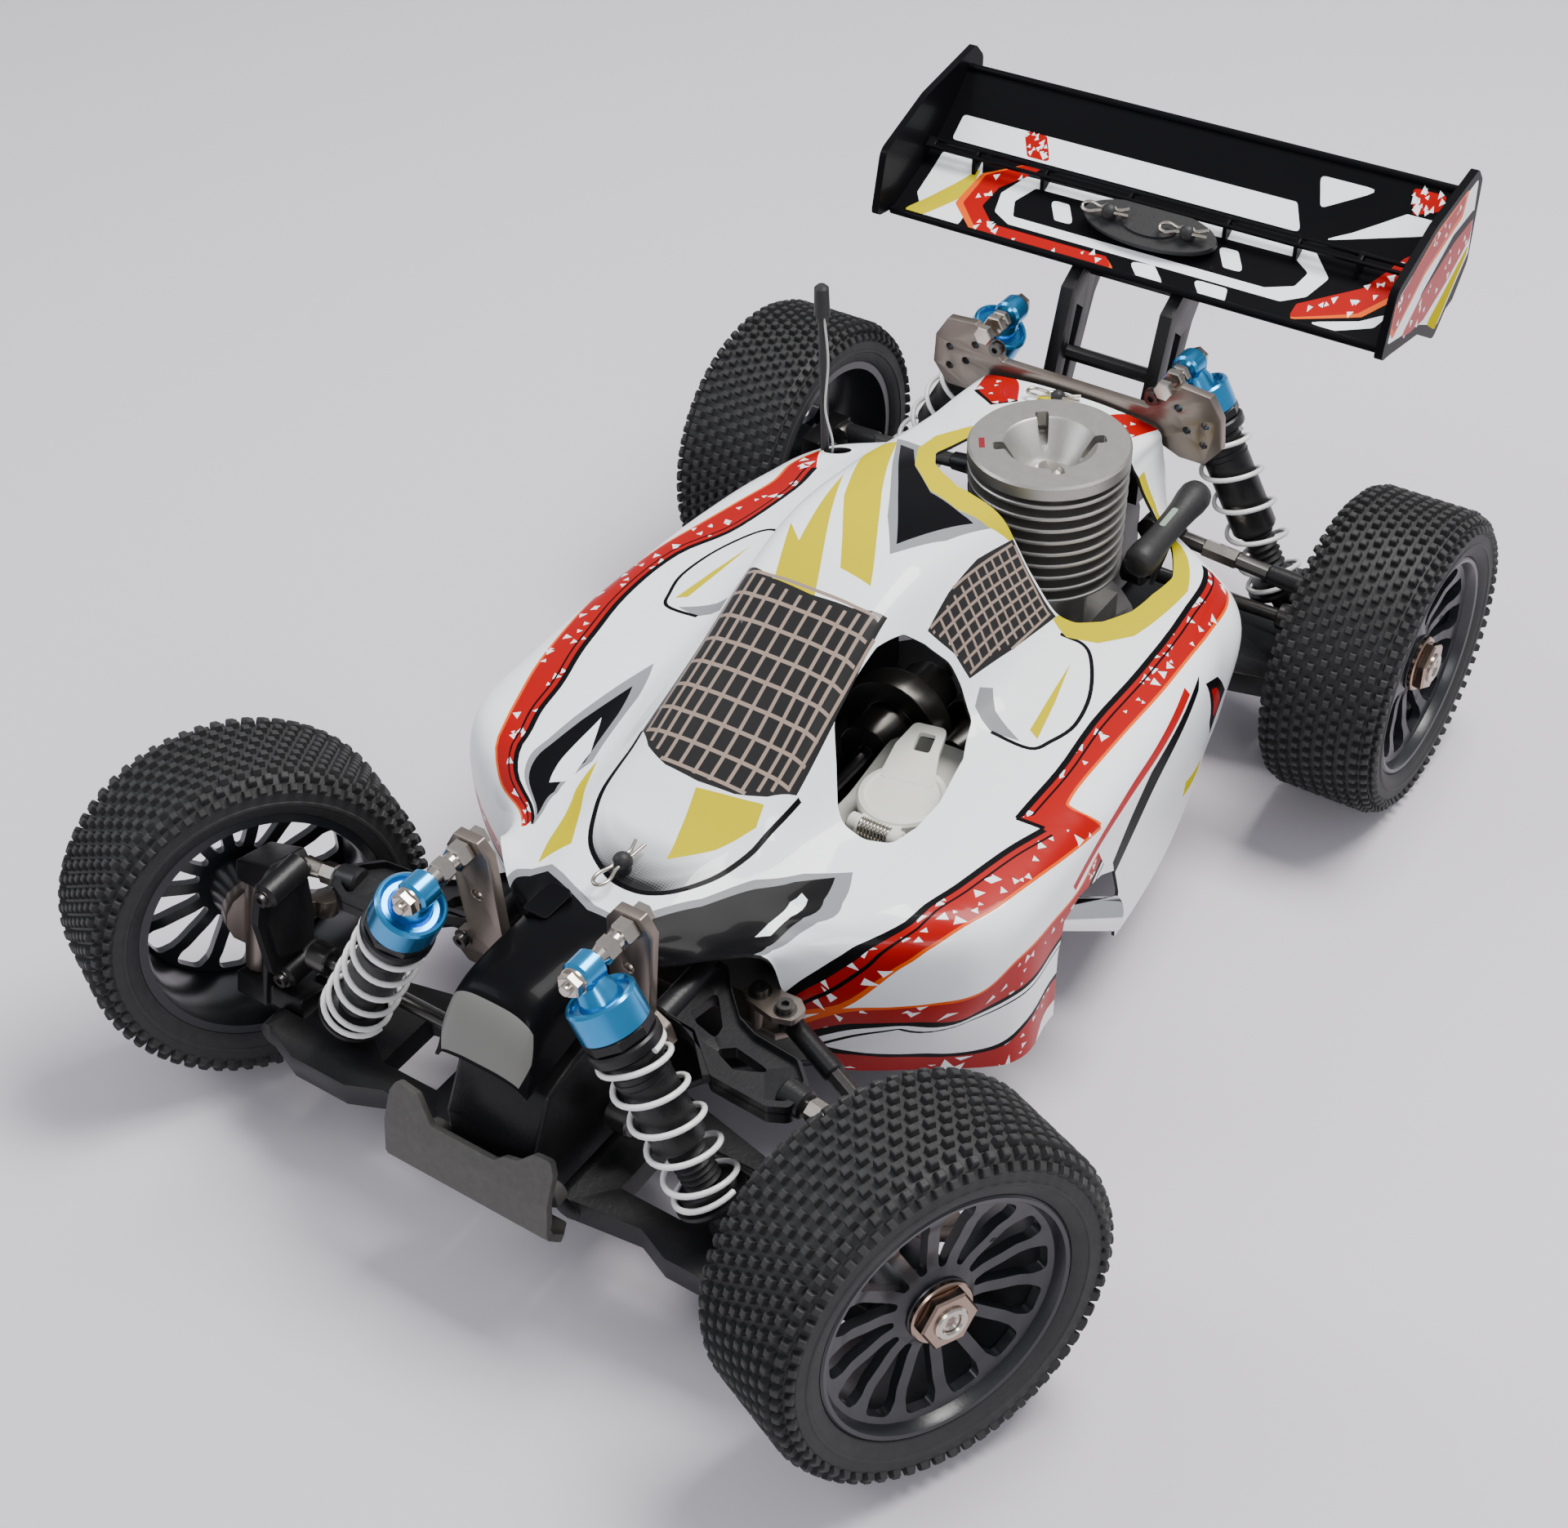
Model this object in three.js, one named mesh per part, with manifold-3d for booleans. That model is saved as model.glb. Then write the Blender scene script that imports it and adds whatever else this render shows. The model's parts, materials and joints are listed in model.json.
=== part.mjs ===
// A 1:8 nitro off-road buggy: ladder of chassis plate, gearboxes, shock towers, four independent
// suspension corners, engine, tank, steering, polycarbonate body shell and a high rear wing.
// Millimetres. While it is built, the car stands with its wheelbase centre over the origin,
// its nose towards -Y, its left side towards +X and the ground at z = 0.
import * as THREE from 'three';
import { mergeVertices } from 'three/addons/utils/BufferGeometryUtils.js';
import Module from 'manifold-3d';

const wasm = await Module();
wasm.setup();

// ---------------------------------------------------------------- driving dimensions
const WHEELBASE = 325;
const AXLE = WHEELBASE / 2;
const TYRE_RADIUS = 57.5;
const TYRE_WIDTH = 44;
const RIM_RADIUS = 42;
const FRONT_WHEEL_X = 133.5;
const REAR_WHEEL_X = 127.6;
const KINGPIN_X = 118;
const CASTER = THREE.MathUtils.degToRad(13.5);
const STEER = { left: THREE.MathUtils.degToRad(-24.7), right: THREE.MathUtils.degToRad(-27.3) };

const PLATE_BOTTOM = 27;
const PLATE_TOP = 30;
const ARM_Z = 36;
const ARM_THICK = 9;
const ARM_INNER_X = 24;
const ARM_OUTER_X = 99;
const PIN_BOSS = 5;
const GAP = 0.5;

const SHOCK = {
  front: { y: -174, top: [30, 127.5], foot: [74, 47] },
  rear: { y: 176, top: [37, 141], foot: [86, 50] },
};
const CAP_RADIUS = 11;
const SHOCK_RADIUS = 8.4;
const SPRING_RADIUS = 10.6;
const SPRING_WIRE = 0.9;
const SPRING_TURNS = 6;

const FRONT_TOWER_Y = -153.5;
const REAR_TOWER_Y = 158;
const TOWER_THICK = 4;
const DRIVE_Z = 56;
const ENGINE_X = 26;
const HEAD_Y = 92;
const HEAD_RADIUS = 28;
const HEAD_TOP = 151;
const STEERING_PLATE_Z = 60;
const STEERING_Y = -112;
const STEERING_SHIFT = 11;
const STEERING_HALF = 41;
const ANTENNA = { x: -80, y: 113, top: 170 };

// ---------------------------------------------------------------- materials
const paint = (color, roughness, metalness) =>
  new THREE.MeshStandardMaterial({ color, roughness, metalness });
const MATERIALS = {
  nylon: () => paint(0x1b1b1c, 0.5, 0),
  rubber: () => paint(0x1a1a1a, 0.8, 0),
  shell: () => paint(0xf2f4f6, 0.15, 0),
  wing: () => paint(0x121212, 0.25, 0),
  bronze: () => paint(0x6b5f57, 0.4, 0.8),
  blue: () => paint(0x1f6fae, 0.25, 0.9),
  steel: () => paint(0xb8b8b8, 0.3, 1),
  alloy: () => paint(0x8d8d8b, 0.45, 0.9),
  spring: () => paint(0xf4f4f4, 0.3, 0),
  tank: () => paint(0xe6e6e0, 0.4, 0),
};

// ---------------------------------------------------------------- geometry helpers
const group = new THREE.Group();

function addPiece(name, geometry, material, parent = group) {
  const mesh = new THREE.Mesh(geometry, MATERIALS[material]());
  mesh.name = name;
  parent.add(mesh);
  return mesh;
}

function toSolid(geometry) {
  const bare = geometry.clone();
  for (const attribute of Object.keys(bare.attributes)) {
    if (attribute !== 'position') bare.deleteAttribute(attribute);
  }
  const merged = mergeVertices(bare, 1e-4);
  return new wasm.Manifold(new wasm.Mesh({
    numProp: 3,
    vertProperties: new Float32Array(merged.attributes.position.array),
    triVerts: new Uint32Array(merged.index.array),
  }));
}

function toGeometry(solid) {
  const mesh = solid.getMesh();
  const geometry = new THREE.BufferGeometry();
  geometry.setAttribute('position', new THREE.BufferAttribute(new Float32Array(mesh.vertProperties), 3));
  geometry.setIndex([...mesh.triVerts]);
  return geometry;
}

const join = (first, ...others) => toGeometry(
  others.reduce((sum, each) => sum.add(toSolid(each)), toSolid(first)));
const cut = (body, ...tools) => toGeometry(
  tools.reduce((rest, tool) => rest.subtract(toSolid(tool)), toSolid(body)));

// A box given by its lowest and highest corners.
function box([x0, y0, z0], [x1, y1, z1]) {
  const geometry = new THREE.BoxGeometry(x1 - x0, y1 - y0, z1 - z0);
  return geometry.translate((x0 + x1) / 2, (y0 + y1) / 2, (z0 + z1) / 2);
}

// A round bar between two points.
function bar(from, to, radius, sides = 10, endRadius = radius) {
  const start = new THREE.Vector3(...from);
  const along = new THREE.Vector3(...to).sub(start);
  const geometry = new THREE.CylinderGeometry(endRadius, radius, along.length(), sides);
  geometry.translate(0, along.length() / 2, 0);
  const turn = new THREE.Quaternion().setFromUnitVectors(new THREE.Vector3(0, 1, 0), along.normalize());
  geometry.applyQuaternion(turn);
  return geometry.translate(...from);
}

function extrude(points, depth) {
  const shape = new THREE.Shape(points.map(([a, b]) => new THREE.Vector2(a, b)));
  return new THREE.ExtrudeGeometry(shape, { depth, bevelEnabled: false });
}

// Outlines in plan (x, y), from the front (x, z) and from the side (y, z).
const slab = (points, z0, z1) => extrude(points, z1 - z0).translate(0, 0, z0);
const frontPlate = (points, y0, y1) => extrude(points, y1 - y0).rotateX(Math.PI / 2).translate(0, y1, 0);
const sidePlate = (points, x0, x1) => extrude(points, x1 - x0)
  .applyMatrix4(new THREE.Matrix4().makeBasis(
    new THREE.Vector3(0, 1, 0), new THREE.Vector3(0, 0, 1), new THREE.Vector3(1, 0, 0)))
  .translate(x0, 0, 0);

const mirrored = (points) => points.concat(
  [...points].reverse().filter(([x]) => x !== 0).map(([x, y]) => [-x, y]));

// A body of revolution about the X axis; the profile holds (x, radius) pairs and closes on itself.
function turned(profile, sides) {
  const points = profile.map(([x, radius]) => new THREE.Vector2(radius, x));
  if (THREE.ShapeUtils.isClockWise(points)) points.reverse();
  points.push(points[0].clone());
  return new THREE.LatheGeometry(points, sides).rotateZ(-Math.PI / 2);
}

// Flips a left-hand piece into its right-hand twin.
function flipX(geometry) {
  const flipped = geometry.index ? geometry.toNonIndexed() : geometry.clone();
  flipped.scale(-1, 1, 1);
  const place = flipped.attributes.position;
  for (let i = 0; i < place.count; i += 3) {
    const second = [place.getX(i + 1), place.getY(i + 1), place.getZ(i + 1)];
    place.setXYZ(i + 1, place.getX(i + 2), place.getY(i + 2), place.getZ(i + 2));
    place.setXYZ(i + 2, ...second);
  }
  return flipped;
}

const SIDES = [{ side: 'left', sign: 1 }, { side: 'right', sign: -1 }];
const handed = (sign, geometry) => (sign > 0 ? geometry : flipX(geometry));

// ---------------------------------------------------------------- chassis, gearboxes, bumper
function buildFrame() {
  const plan = mirrored([
    [0, -190], [15, -190], [16, -135], [30, -112], [58, -88], [62, -70], [62, 70], [54, 92], [24, 124],
    [16, 132], [16, 188], [0, 188],
  ]);
  addPiece('chassis_plate', slab(plan, PLATE_BOTTOM, PLATE_TOP), 'alloy');

  const frontCase = [[-190, 30.3], [-191, 58], [-182, 74], [-168, 78], [-142, 78], [-138, 66], [-138, 30.3]];
  addPiece('front_gearbox', sidePlate(frontCase, -17, 17), 'nylon');
  const rearCase = [[138, 30.3], [138, 66], [142, 78], [182, 78], [188, 66], [188, 30.3]];
  addPiece('rear_gearbox', sidePlate(rearCase, -17, 17), 'nylon');

  const bumper = [
    [-197, 69], [-203, 56], [-205, 43], [-200, 37], [-192, 31], [-191.5, 39], [-196, 46],
    [-196, 56], [-191.5, 66],
  ];
  const dip = frontPlate([[-18, 70], [-11, 59.5], [9, 59.5], [16, 70]], -210, -185);
  addPiece('front_bumper', cut(sidePlate(bumper, -31, 31), dip), 'nylon');
}

// ---------------------------------------------------------------- shock towers
function buildTowers() {
  const front = cut(
    frontPlate(mirrored([
      [36, 78.4], [41, 84], [39, 90], [34, 93], [37.5, 126], [34, 132], [25, 132], [21.5, 127], [19.5, 86],
    ]), FRONT_TOWER_Y, FRONT_TOWER_Y + TOWER_THICK),
    ...[-1, 1].map((s) => bar([s * 28, FRONT_TOWER_Y - 1, 110], [s * 28, FRONT_TOWER_Y + 6, 110], 2, 8)),
  );
  addPiece('front_shock_tower', front, 'bronze');

  const holes = [];
  for (const s of [-1, 1]) {
    for (const [x, z] of [[42, 134], [46, 126], [53, 130], [53, 122]]) {
      holes.push(bar([s * x, REAR_TOWER_Y - 1, z], [s * x, REAR_TOWER_Y + 6, z], 1.6, 6));
    }
  }
  const rear = frontPlate(mirrored([
    [22, 78.4], [24, 112], [34, 118], [44, 114], [54, 114], [60, 122], [59, 134], [54, 142], [42, 143],
    [35, 136], [30, 130.5],
  ]), REAR_TOWER_Y, REAR_TOWER_Y + TOWER_THICK);
  addPiece('rear_shock_tower', cut(rear, ...holes), 'bronze');
}

// ---------------------------------------------------------------- wing
const WING = {
  halfSpan: 101.5,
  thick: 2,
  line: [[193, 158], [207, 163], [222, 170], [237, 180.5], [252, 193.5]],
};

function buildWing() {
  const under = [...WING.line].reverse().map(([y, z]) => [y + WING.thick * 0.5, z - WING.thick]);
  const skin = sidePlate([...WING.line, ...under], -WING.halfSpan, WING.halfSpan);
  const plate = [
    [184, 159], [192, 158], [218, 153], [236, 142], [251, 150], [261, 162], [262.5, 194], [257, 200],
    [221, 194], [191, 183],
  ];
  const ends = [sidePlate(plate, -104.5, -101), sidePlate(plate, 101, 104.5)];
  addPiece('rear_wing', join(skin, ...ends), 'wing');

  const strut = [
    [170, 78.4], [186, 78.4], [190, 106], [206, 140], [228, 165], [228, 169.5], [213, 161.8], [198, 155.8],
    [188, 150], [172, 106],
  ];
  const window = [[179, 104], [184, 108], [197, 138], [192, 142]];
  const struts = [-1, 1].map((s) => cut(
    sidePlate(strut, s > 0 ? 18 : -23, s > 0 ? 23 : -18),
    sidePlate(window, s > 0 ? 17 : -24, s > 0 ? 24 : -17),
  ));
  const ties = [[178, 92], [187, 124], [204, 152]].map(([y, z]) => bar([-19, y, z], [19, y, z], 3, 8));
  addPiece('wing_mount', join(...struts, ...ties), 'nylon');

  const slope = Math.atan2(WING.line[3][1] - WING.line[1][1], WING.line[3][0] - WING.line[1][0]);
  const retainer = new THREE.CylinderGeometry(9, 9, 3, 16).scale(3, 1, 1).rotateX(Math.PI / 2 + slope);
  addPiece('wing_retainer', retainer.translate(0, 212, 169.5), 'nylon');
}

// ---------------------------------------------------------------- body shell
// Half sections of the shell, from the crown on the centre line out and down to the trimmed edge. Where the
// pods' fronts curve back, `behind` says how far each point of a section stands behind its y.
const SHELL_THICK = 1.6;
const SHELL_SECTIONS = [
  {
    y: -191,
    half: [
      [0, 86], [6, 86], [11, 85.5], [13.5, 85], [15, 84.2],
      [16, 83.5], [16.5, 83], [17, 82.5], [17, 82],
    ],
  },
  {
    y: -187,
    half: [
      [0, 98], [8, 97.5], [13, 95.5], [15.5, 92.5], [16.5, 90],
      [17, 88], [17.3, 86], [17.5, 84.5], [17.5, 83],
    ],
  },
  {
    y: -180,
    half: [
      [0, 107], [8, 106.5], [13, 104], [15.5, 100], [16.5, 97],
      [17, 94], [17.4, 91], [17.7, 88], [18, 85.5],
    ],
  },
  {
    y: -165,
    half: [
      [0, 109], [8, 108.5], [13, 106.5], [15.8, 103], [16.8, 100],
      [17.3, 97], [17.6, 94], [17.8, 91], [18, 89],
    ],
  },
  {
    y: -147,
    half: [
      [0, 108], [9, 107.5], [14, 105.5], [16.5, 103], [17.3, 101],
      [17.8, 99], [18, 97.5], [18.2, 96], [18.4, 95],
    ],
  },
  {
    y: -134,
    half: [
      [0, 106], [9, 105.5], [17, 104.2], [22, 102.5], [26, 101.5],
      [29, 100.5], [31, 99.6], [32.5, 99], [34, 98.6],
    ],
  },
  {
    y: -118,
    half: [
      [0, 107], [12, 106.5], [21, 104.8], [29, 102], [35.5, 99.9],
      [40.5, 98.8], [44.5, 98.2], [47.5, 97.5], [49.5, 96.2],
    ],
  },
  {
    y: -104,
    half: [
      [0, 108.5], [15, 108], [25, 105.5], [34, 101.3], [43, 98.4],
      [50, 96.5], [56, 92.5], [56, 84], [50.5, 72],
    ],
    behind: [0, 0, 0, 0, 0, 0, -1, -3, -5],
  },
  {
    y: -93,
    half: [
      [0, 110], [16, 109.5], [27, 107.5], [39, 101], [53, 98],
      [66, 95.5], [74, 86], [68, 66], [54.5, 50],
    ],
    behind: [0, 0, 0, 0, 0, 0, -2, -7, -11.5],
  },
  {
    y: -84,
    half: [
      [0, 112.5], [16, 112], [27, 110], [40, 102], [56, 98.5],
      [73, 97], [88, 88], [82, 60], [62, 38],
    ],
    behind: [0, 0, 0, 0, 0, 0, -1, -7, -16],
  },
  {
    y: -75,
    half: [
      [0, 115.5], [16, 115], [27, 112.5], [40, 103], [56, 99],
      [74, 98], [96, 92], [98, 66], [81, 30],
    ],
    behind: [0, 0, 0, 0, 0, 0, 0, -3, -5],
  },
  {
    y: -62,
    half: [
      [0, 121.5], [16, 121], [27, 118.5], [40, 105], [55, 99.5],
      [76, 98.5], [100, 93.5], [105, 76], [104, 30],
    ],
  },
  {
    y: -40,
    half: [
      [0, 133], [15, 132.5], [26.5, 129], [39, 111], [53, 101],
      [78, 99.5], [101, 94.5], [105.5, 78], [105, 30],
    ],
  },
  {
    y: -12,
    half: [
      [0, 146], [15, 145.5], [26.5, 142], [38, 122], [50, 104],
      [76, 100], [101, 95.5], [105.5, 78], [105, 30],
    ],
  },
  {
    y: 20,
    half: [
      [0, 152], [16, 151.5], [29, 147], [40, 128], [52, 108],
      [76, 101.5], [100, 96.5], [105, 78], [104, 30],
    ],
  },
  {
    y: 56,
    half: [
      [0, 149], [17, 148], [31, 143], [42, 125], [54, 110],
      [76, 103], [98, 97], [103, 78], [100, 32],
    ],
  },
  {
    y: 90,
    half: [
      [0, 140.5], [17, 139.5], [33, 135], [42, 121], [54, 110],
      [72, 103.5], [92, 98], [98, 80], [94, 42],
    ],
  },
  {
    y: 118,
    half: [
      [0, 133.5], [17, 133], [34, 129], [41, 119], [50, 110],
      [62, 104], [80, 99], [90, 88], [88, 68],
    ],
  },
  {
    y: 138,
    half: [
      [0, 130], [17, 129.5], [35, 126.5], [38.5, 120], [42, 113],
      [46, 106], [50, 100], [54, 94], [57, 88],
    ],
  },
  {
    y: 156,
    half: [
      [0, 127.5], [17, 127], [35, 124.5], [38, 119], [39, 114],
      [40, 109], [40.5, 104], [41, 100], [41.5, 96],
    ],
  },
];

// Both skins of the shell as rings around the profile, stitched from front to rear.
function shellSkin() {
  const rows = SHELL_SECTIONS.map(({ y, half, behind = [] }) => {
    const left = half.map(([x, z], i) => new THREE.Vector3(x, y + (behind[i] ?? 0), z));
    const right = left.slice(1).reverse().map((point) => new THREE.Vector3(-point.x, point.y, point.z));
    return right.concat(left);
  });
  const columns = rows[0].length;
  const clampedAt = (row, column) => rows[THREE.MathUtils.clamp(row, 0, rows.length - 1)][
    THREE.MathUtils.clamp(column, 0, columns - 1)];
  const inner = rows.map((points, row) => points.map((point, column) => {
    const across = clampedAt(row, column + 1).clone().sub(clampedAt(row, column - 1));
    const along = clampedAt(row + 1, column).clone().sub(clampedAt(row - 1, column));
    const outward = across.cross(along).normalize();
    return point.clone().addScaledVector(outward, -SHELL_THICK);
  }));
  const positions = [];
  const quad = (a, b, c, d) => [a, b, c, a, c, d].forEach((p) => positions.push(p.x, p.y, p.z));
  const last = rows.length - 1;
  for (let row = 0; row < last; row += 1) {
    for (let column = 0; column < columns - 1; column += 1) {
      const next = column + 1;
      quad(rows[row][column], rows[row][next], rows[row + 1][next], rows[row + 1][column]);
      quad(inner[row][column], inner[row + 1][column], inner[row + 1][next], inner[row][next]);
    }
    quad(inner[row][0], rows[row][0], rows[row + 1][0], inner[row + 1][0]);
    const edge = columns - 1;
    quad(rows[row][edge], inner[row][edge], inner[row + 1][edge], rows[row + 1][edge]);
  }
  for (let column = 0; column < columns - 1; column += 1) {
    quad(inner[0][column], inner[0][column + 1], rows[0][column + 1], rows[0][column]);
    quad(rows[last][column], rows[last][column + 1], inner[last][column + 1], inner[last][column]);
  }
  const geometry = new THREE.BufferGeometry();
  geometry.setAttribute('position', new THREE.Float32BufferAttribute(positions, 3));
  return geometry;
}

function buildShell() {
  const headHole = [
    [-9, 75], [3, 61], [11, 56], [26, 54], [44, 54], [54, 56], [63, 66], [69, 91], [71, 106], [65, 124],
    [50, 132], [40, 134], [29, 132], [7, 127], [-4, 120], [-9, 108],
  ];
  const tankWindow = [
    [28, -45], [26, -28], [29, -10], [36, 0], [46, 3], [54, -4], [60, -20], [61, -40], [59, -58], [50, -64],
    [41, -63], [33, -52],
  ];
  const notchEdge = [
    [-36, 20], [-37, 56], [-34, 68], [-24, 72], [-10, 69], [0, 63], [5, 50], [6, 20],
  ];
  const notch = sidePlate(notchEdge, 88, 120);
  const antennaHole = bar([ANTENNA.x, ANTENNA.y, 85], [ANTENNA.x, ANTENNA.y, 120], 4, 8);
  const openings = [slab(headHole, 88, 160), slab(tankWindow, 88, 160), notch, antennaHole];
  addPiece('body_shell', cut(shellSkin(), ...openings), 'shell');
}

// ---------------------------------------------------------------- engine, tank, radio, drive
function buildPower() {
  const block = join(
    box([ENGINE_X - 17, 66, 34], [ENGINE_X + 17, 118, 78]),
    box([ENGINE_X - 15, 62, 30.3], [ENGINE_X + 15, 122, 36]),
    bar([ENGINE_X, HEAD_Y, 76], [ENGINE_X, HEAD_Y, 96], 16, 16),
    bar([ENGINE_X, 116, DRIVE_Z], [ENGINE_X, 128, DRIVE_Z], 21, 18),
    bar([ENGINE_X, 60, 70], [ENGINE_X, 72, 86], 7, 10),
  );
  addPiece('engine_block', block, 'alloy');

  // The cooling head, as a stack of fins round a core, with a bowl sunk into its top.
  const fins = 8;
  const pitch = 6.1;
  const core = HEAD_RADIUS - 8;
  const profile = [[96.4, 0]];
  for (let fin = 0; fin < fins; fin += 1) {
    const foot = HEAD_TOP - 8 - (fins - fin) * pitch + 3.4;
    profile.push([foot, core], [foot, HEAD_RADIUS], [foot + 2, HEAD_RADIUS], [foot + 2, core]);
  }
  profile.push([HEAD_TOP - 5, core], [HEAD_TOP - 5, HEAD_RADIUS], [HEAD_TOP, HEAD_RADIUS]);
  profile.push([HEAD_TOP, 15], [HEAD_TOP - 12, 8], [HEAD_TOP - 14, 0]);
  const lathe = new THREE.LatheGeometry(profile.map(([z, r]) => new THREE.Vector2(r, z)), 16);
  addPiece('cooling_head', lathe.rotateX(Math.PI / 2).translate(ENGINE_X, HEAD_Y, 0), 'alloy');

  const tank = join(
    slab([[26, -60], [70, -60], [76, -54], [76, -10], [70, -4], [26, -4], [20, -10], [20, -54]], 30.3, 78),
    bar([44, -30, 77], [44, -30, 86], 13, 16),
  );
  addPiece('fuel_tank', tank, 'tank');
  const lid = join(
    bar([44, -30, 86.4], [44, -30, 91], 16, 18),
    box([38, -15, 86.4], [50, -6, 90]),
    box([40, -50, 86.4], [48, -44, 93]),
  );
  addPiece('fuel_lid', lid, 'tank');

  const exhaust = join(
    bar([ENGINE_X + 21, 96, 68], [62, 92, 54], 5, 10),
    bar([70, 86, 50], [70, 74, 50], 7, 12, 12),
    bar([62, 92, 54], [70, 84, 50], 5.5, 10),
    bar([70, 74, 50], [70, 30, 47], 12, 12),
    bar([70, 30, 47], [76, 12, 42], 10, 12, 4),
    bar([74, 10.5, 42], [88, -28, 60], 4, 10),
    cut(bar([85, -33, 62], [111, -7, 54.5], 5.4, 14), bar([98, -20, 58.5], [113, -5, 53.9], 4.2, 14)),
  );
  addPiece('exhaust_pipe', exhaust, 'steel');

  const grip = join(
    bar([60, 94, 110], [60, 144, 114], 6, 12),
    bar([60, 119, 110], [54, 122, 84], 3, 8, 1.5),
  );
  addPiece('starter_grip', grip, 'nylon');
  const radioBox = [[-78, 20], [-34, 20], [-34, 92], [-52, 118], [-84, 118], [-84, 100]];
  addPiece('radio_box', slab(radioBox, 30.3, 62), 'nylon');
  addPiece('steering_servo', box([-54, -72, 30.3], [-30, -32, 68]), 'nylon');
  const antenna = join(
    bar([ANTENNA.x, ANTENNA.y, 62.3], [ANTENNA.x, ANTENNA.y, 68], 5, 12),
    bar([ANTENNA.x, ANTENNA.y, 67], [ANTENNA.x, ANTENNA.y, ANTENNA.top - 1], 1.6, 8),
    bar([ANTENNA.x, ANTENNA.y, ANTENNA.top - 14], [ANTENNA.x, ANTENNA.y, ANTENNA.top], 3.2, 10, 2.6),
  );
  addPiece('antenna_tube', antenna, 'rubber');
}

// The spur gear on the centre differential with its two shafts, and the clutch bell it meshes with.
function buildDrive() {
  const spur = turned([[-5, 0], [-5, 19.4], [5, 19.4], [5, 0]], 28).rotateZ(Math.PI / 2);
  const drive = join(
    spur.translate(0, 37, DRIVE_Z),
    bar([0, 16, DRIVE_Z], [0, 60, DRIVE_Z], 11, 14),
    bar([0, -137.5, DRIVE_Z], [0, 137.5, DRIVE_Z], 3, 8),
  );
  addPiece('centre_drive', drive, 'steel');
  const bell = join(
    bar([ENGINE_X, 31, DRIVE_Z], [ENGINE_X, 46, DRIVE_Z], 6, 12),
    bar([ENGINE_X, 46, DRIVE_Z], [ENGINE_X, 58, DRIVE_Z], 13, 16),
  );
  addPiece('clutch_bell', bell, 'steel');
}

// ---------------------------------------------------------------- wheels
function tyreGeometry() {
  const half = TYRE_WIDTH / 2;
  return turned([
    [-half + 3, RIM_RADIUS - 0.6], [-half, RIM_RADIUS + 5], [-half + 3, TYRE_RADIUS - 3],
    [-half + 9, TYRE_RADIUS], [half - 9, TYRE_RADIUS],
    [half - 3, TYRE_RADIUS - 3], [half, RIM_RADIUS + 5], [half - 3, RIM_RADIUS - 0.6],
  ], 28);
}

function rimGeometry() {
  const half = TYRE_WIDTH / 2 - 3;
  const edge = RIM_RADIUS - 1;
  const dish = turned([
    [-half, edge], [-half, edge - 3], [half - 8, edge - 3], [half - 10, 12], [half - 14, 11], [half - 14, 0],
    [half - 4, 0], [half - 4, 11], [half - 6.5, 13], [half - 4, edge - 4], [half, edge - 2], [half, edge],
  ], 21);
  const windows = 14;
  const cutters = [];
  for (let i = 0; i < windows; i += 1) {
    const slot = sidePlate([[-1.3, 15], [-4, 33], [4, 33], [1.3, 15]], half - 12, half + 1);
    cutters.push(slot.rotateX((2 * Math.PI * i) / windows));
  }
  return cut(dish, ...cutters);
}

// A tyre on its rim, in a group at the wheel's centre.
function addWheel(parent, name, sign, x) {
  const spin = new THREE.Group();
  spin.position.x = sign * x;
  parent.add(spin);
  addPiece(`tyre_${name}`, handed(sign, tyreGeometry()), 'rubber', spin);
  addPiece(`rim_${name}`, handed(sign, rimGeometry()), 'nylon', spin);
}

// How far a tyre that leans by this much stands above its upright height, with its tread on the ground.
function leanLift(lean) {
  const tread = TYRE_WIDTH / 2 - 8;
  return TYRE_RADIUS * Math.cos(lean) + tread * Math.sin(Math.abs(lean));
}

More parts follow.
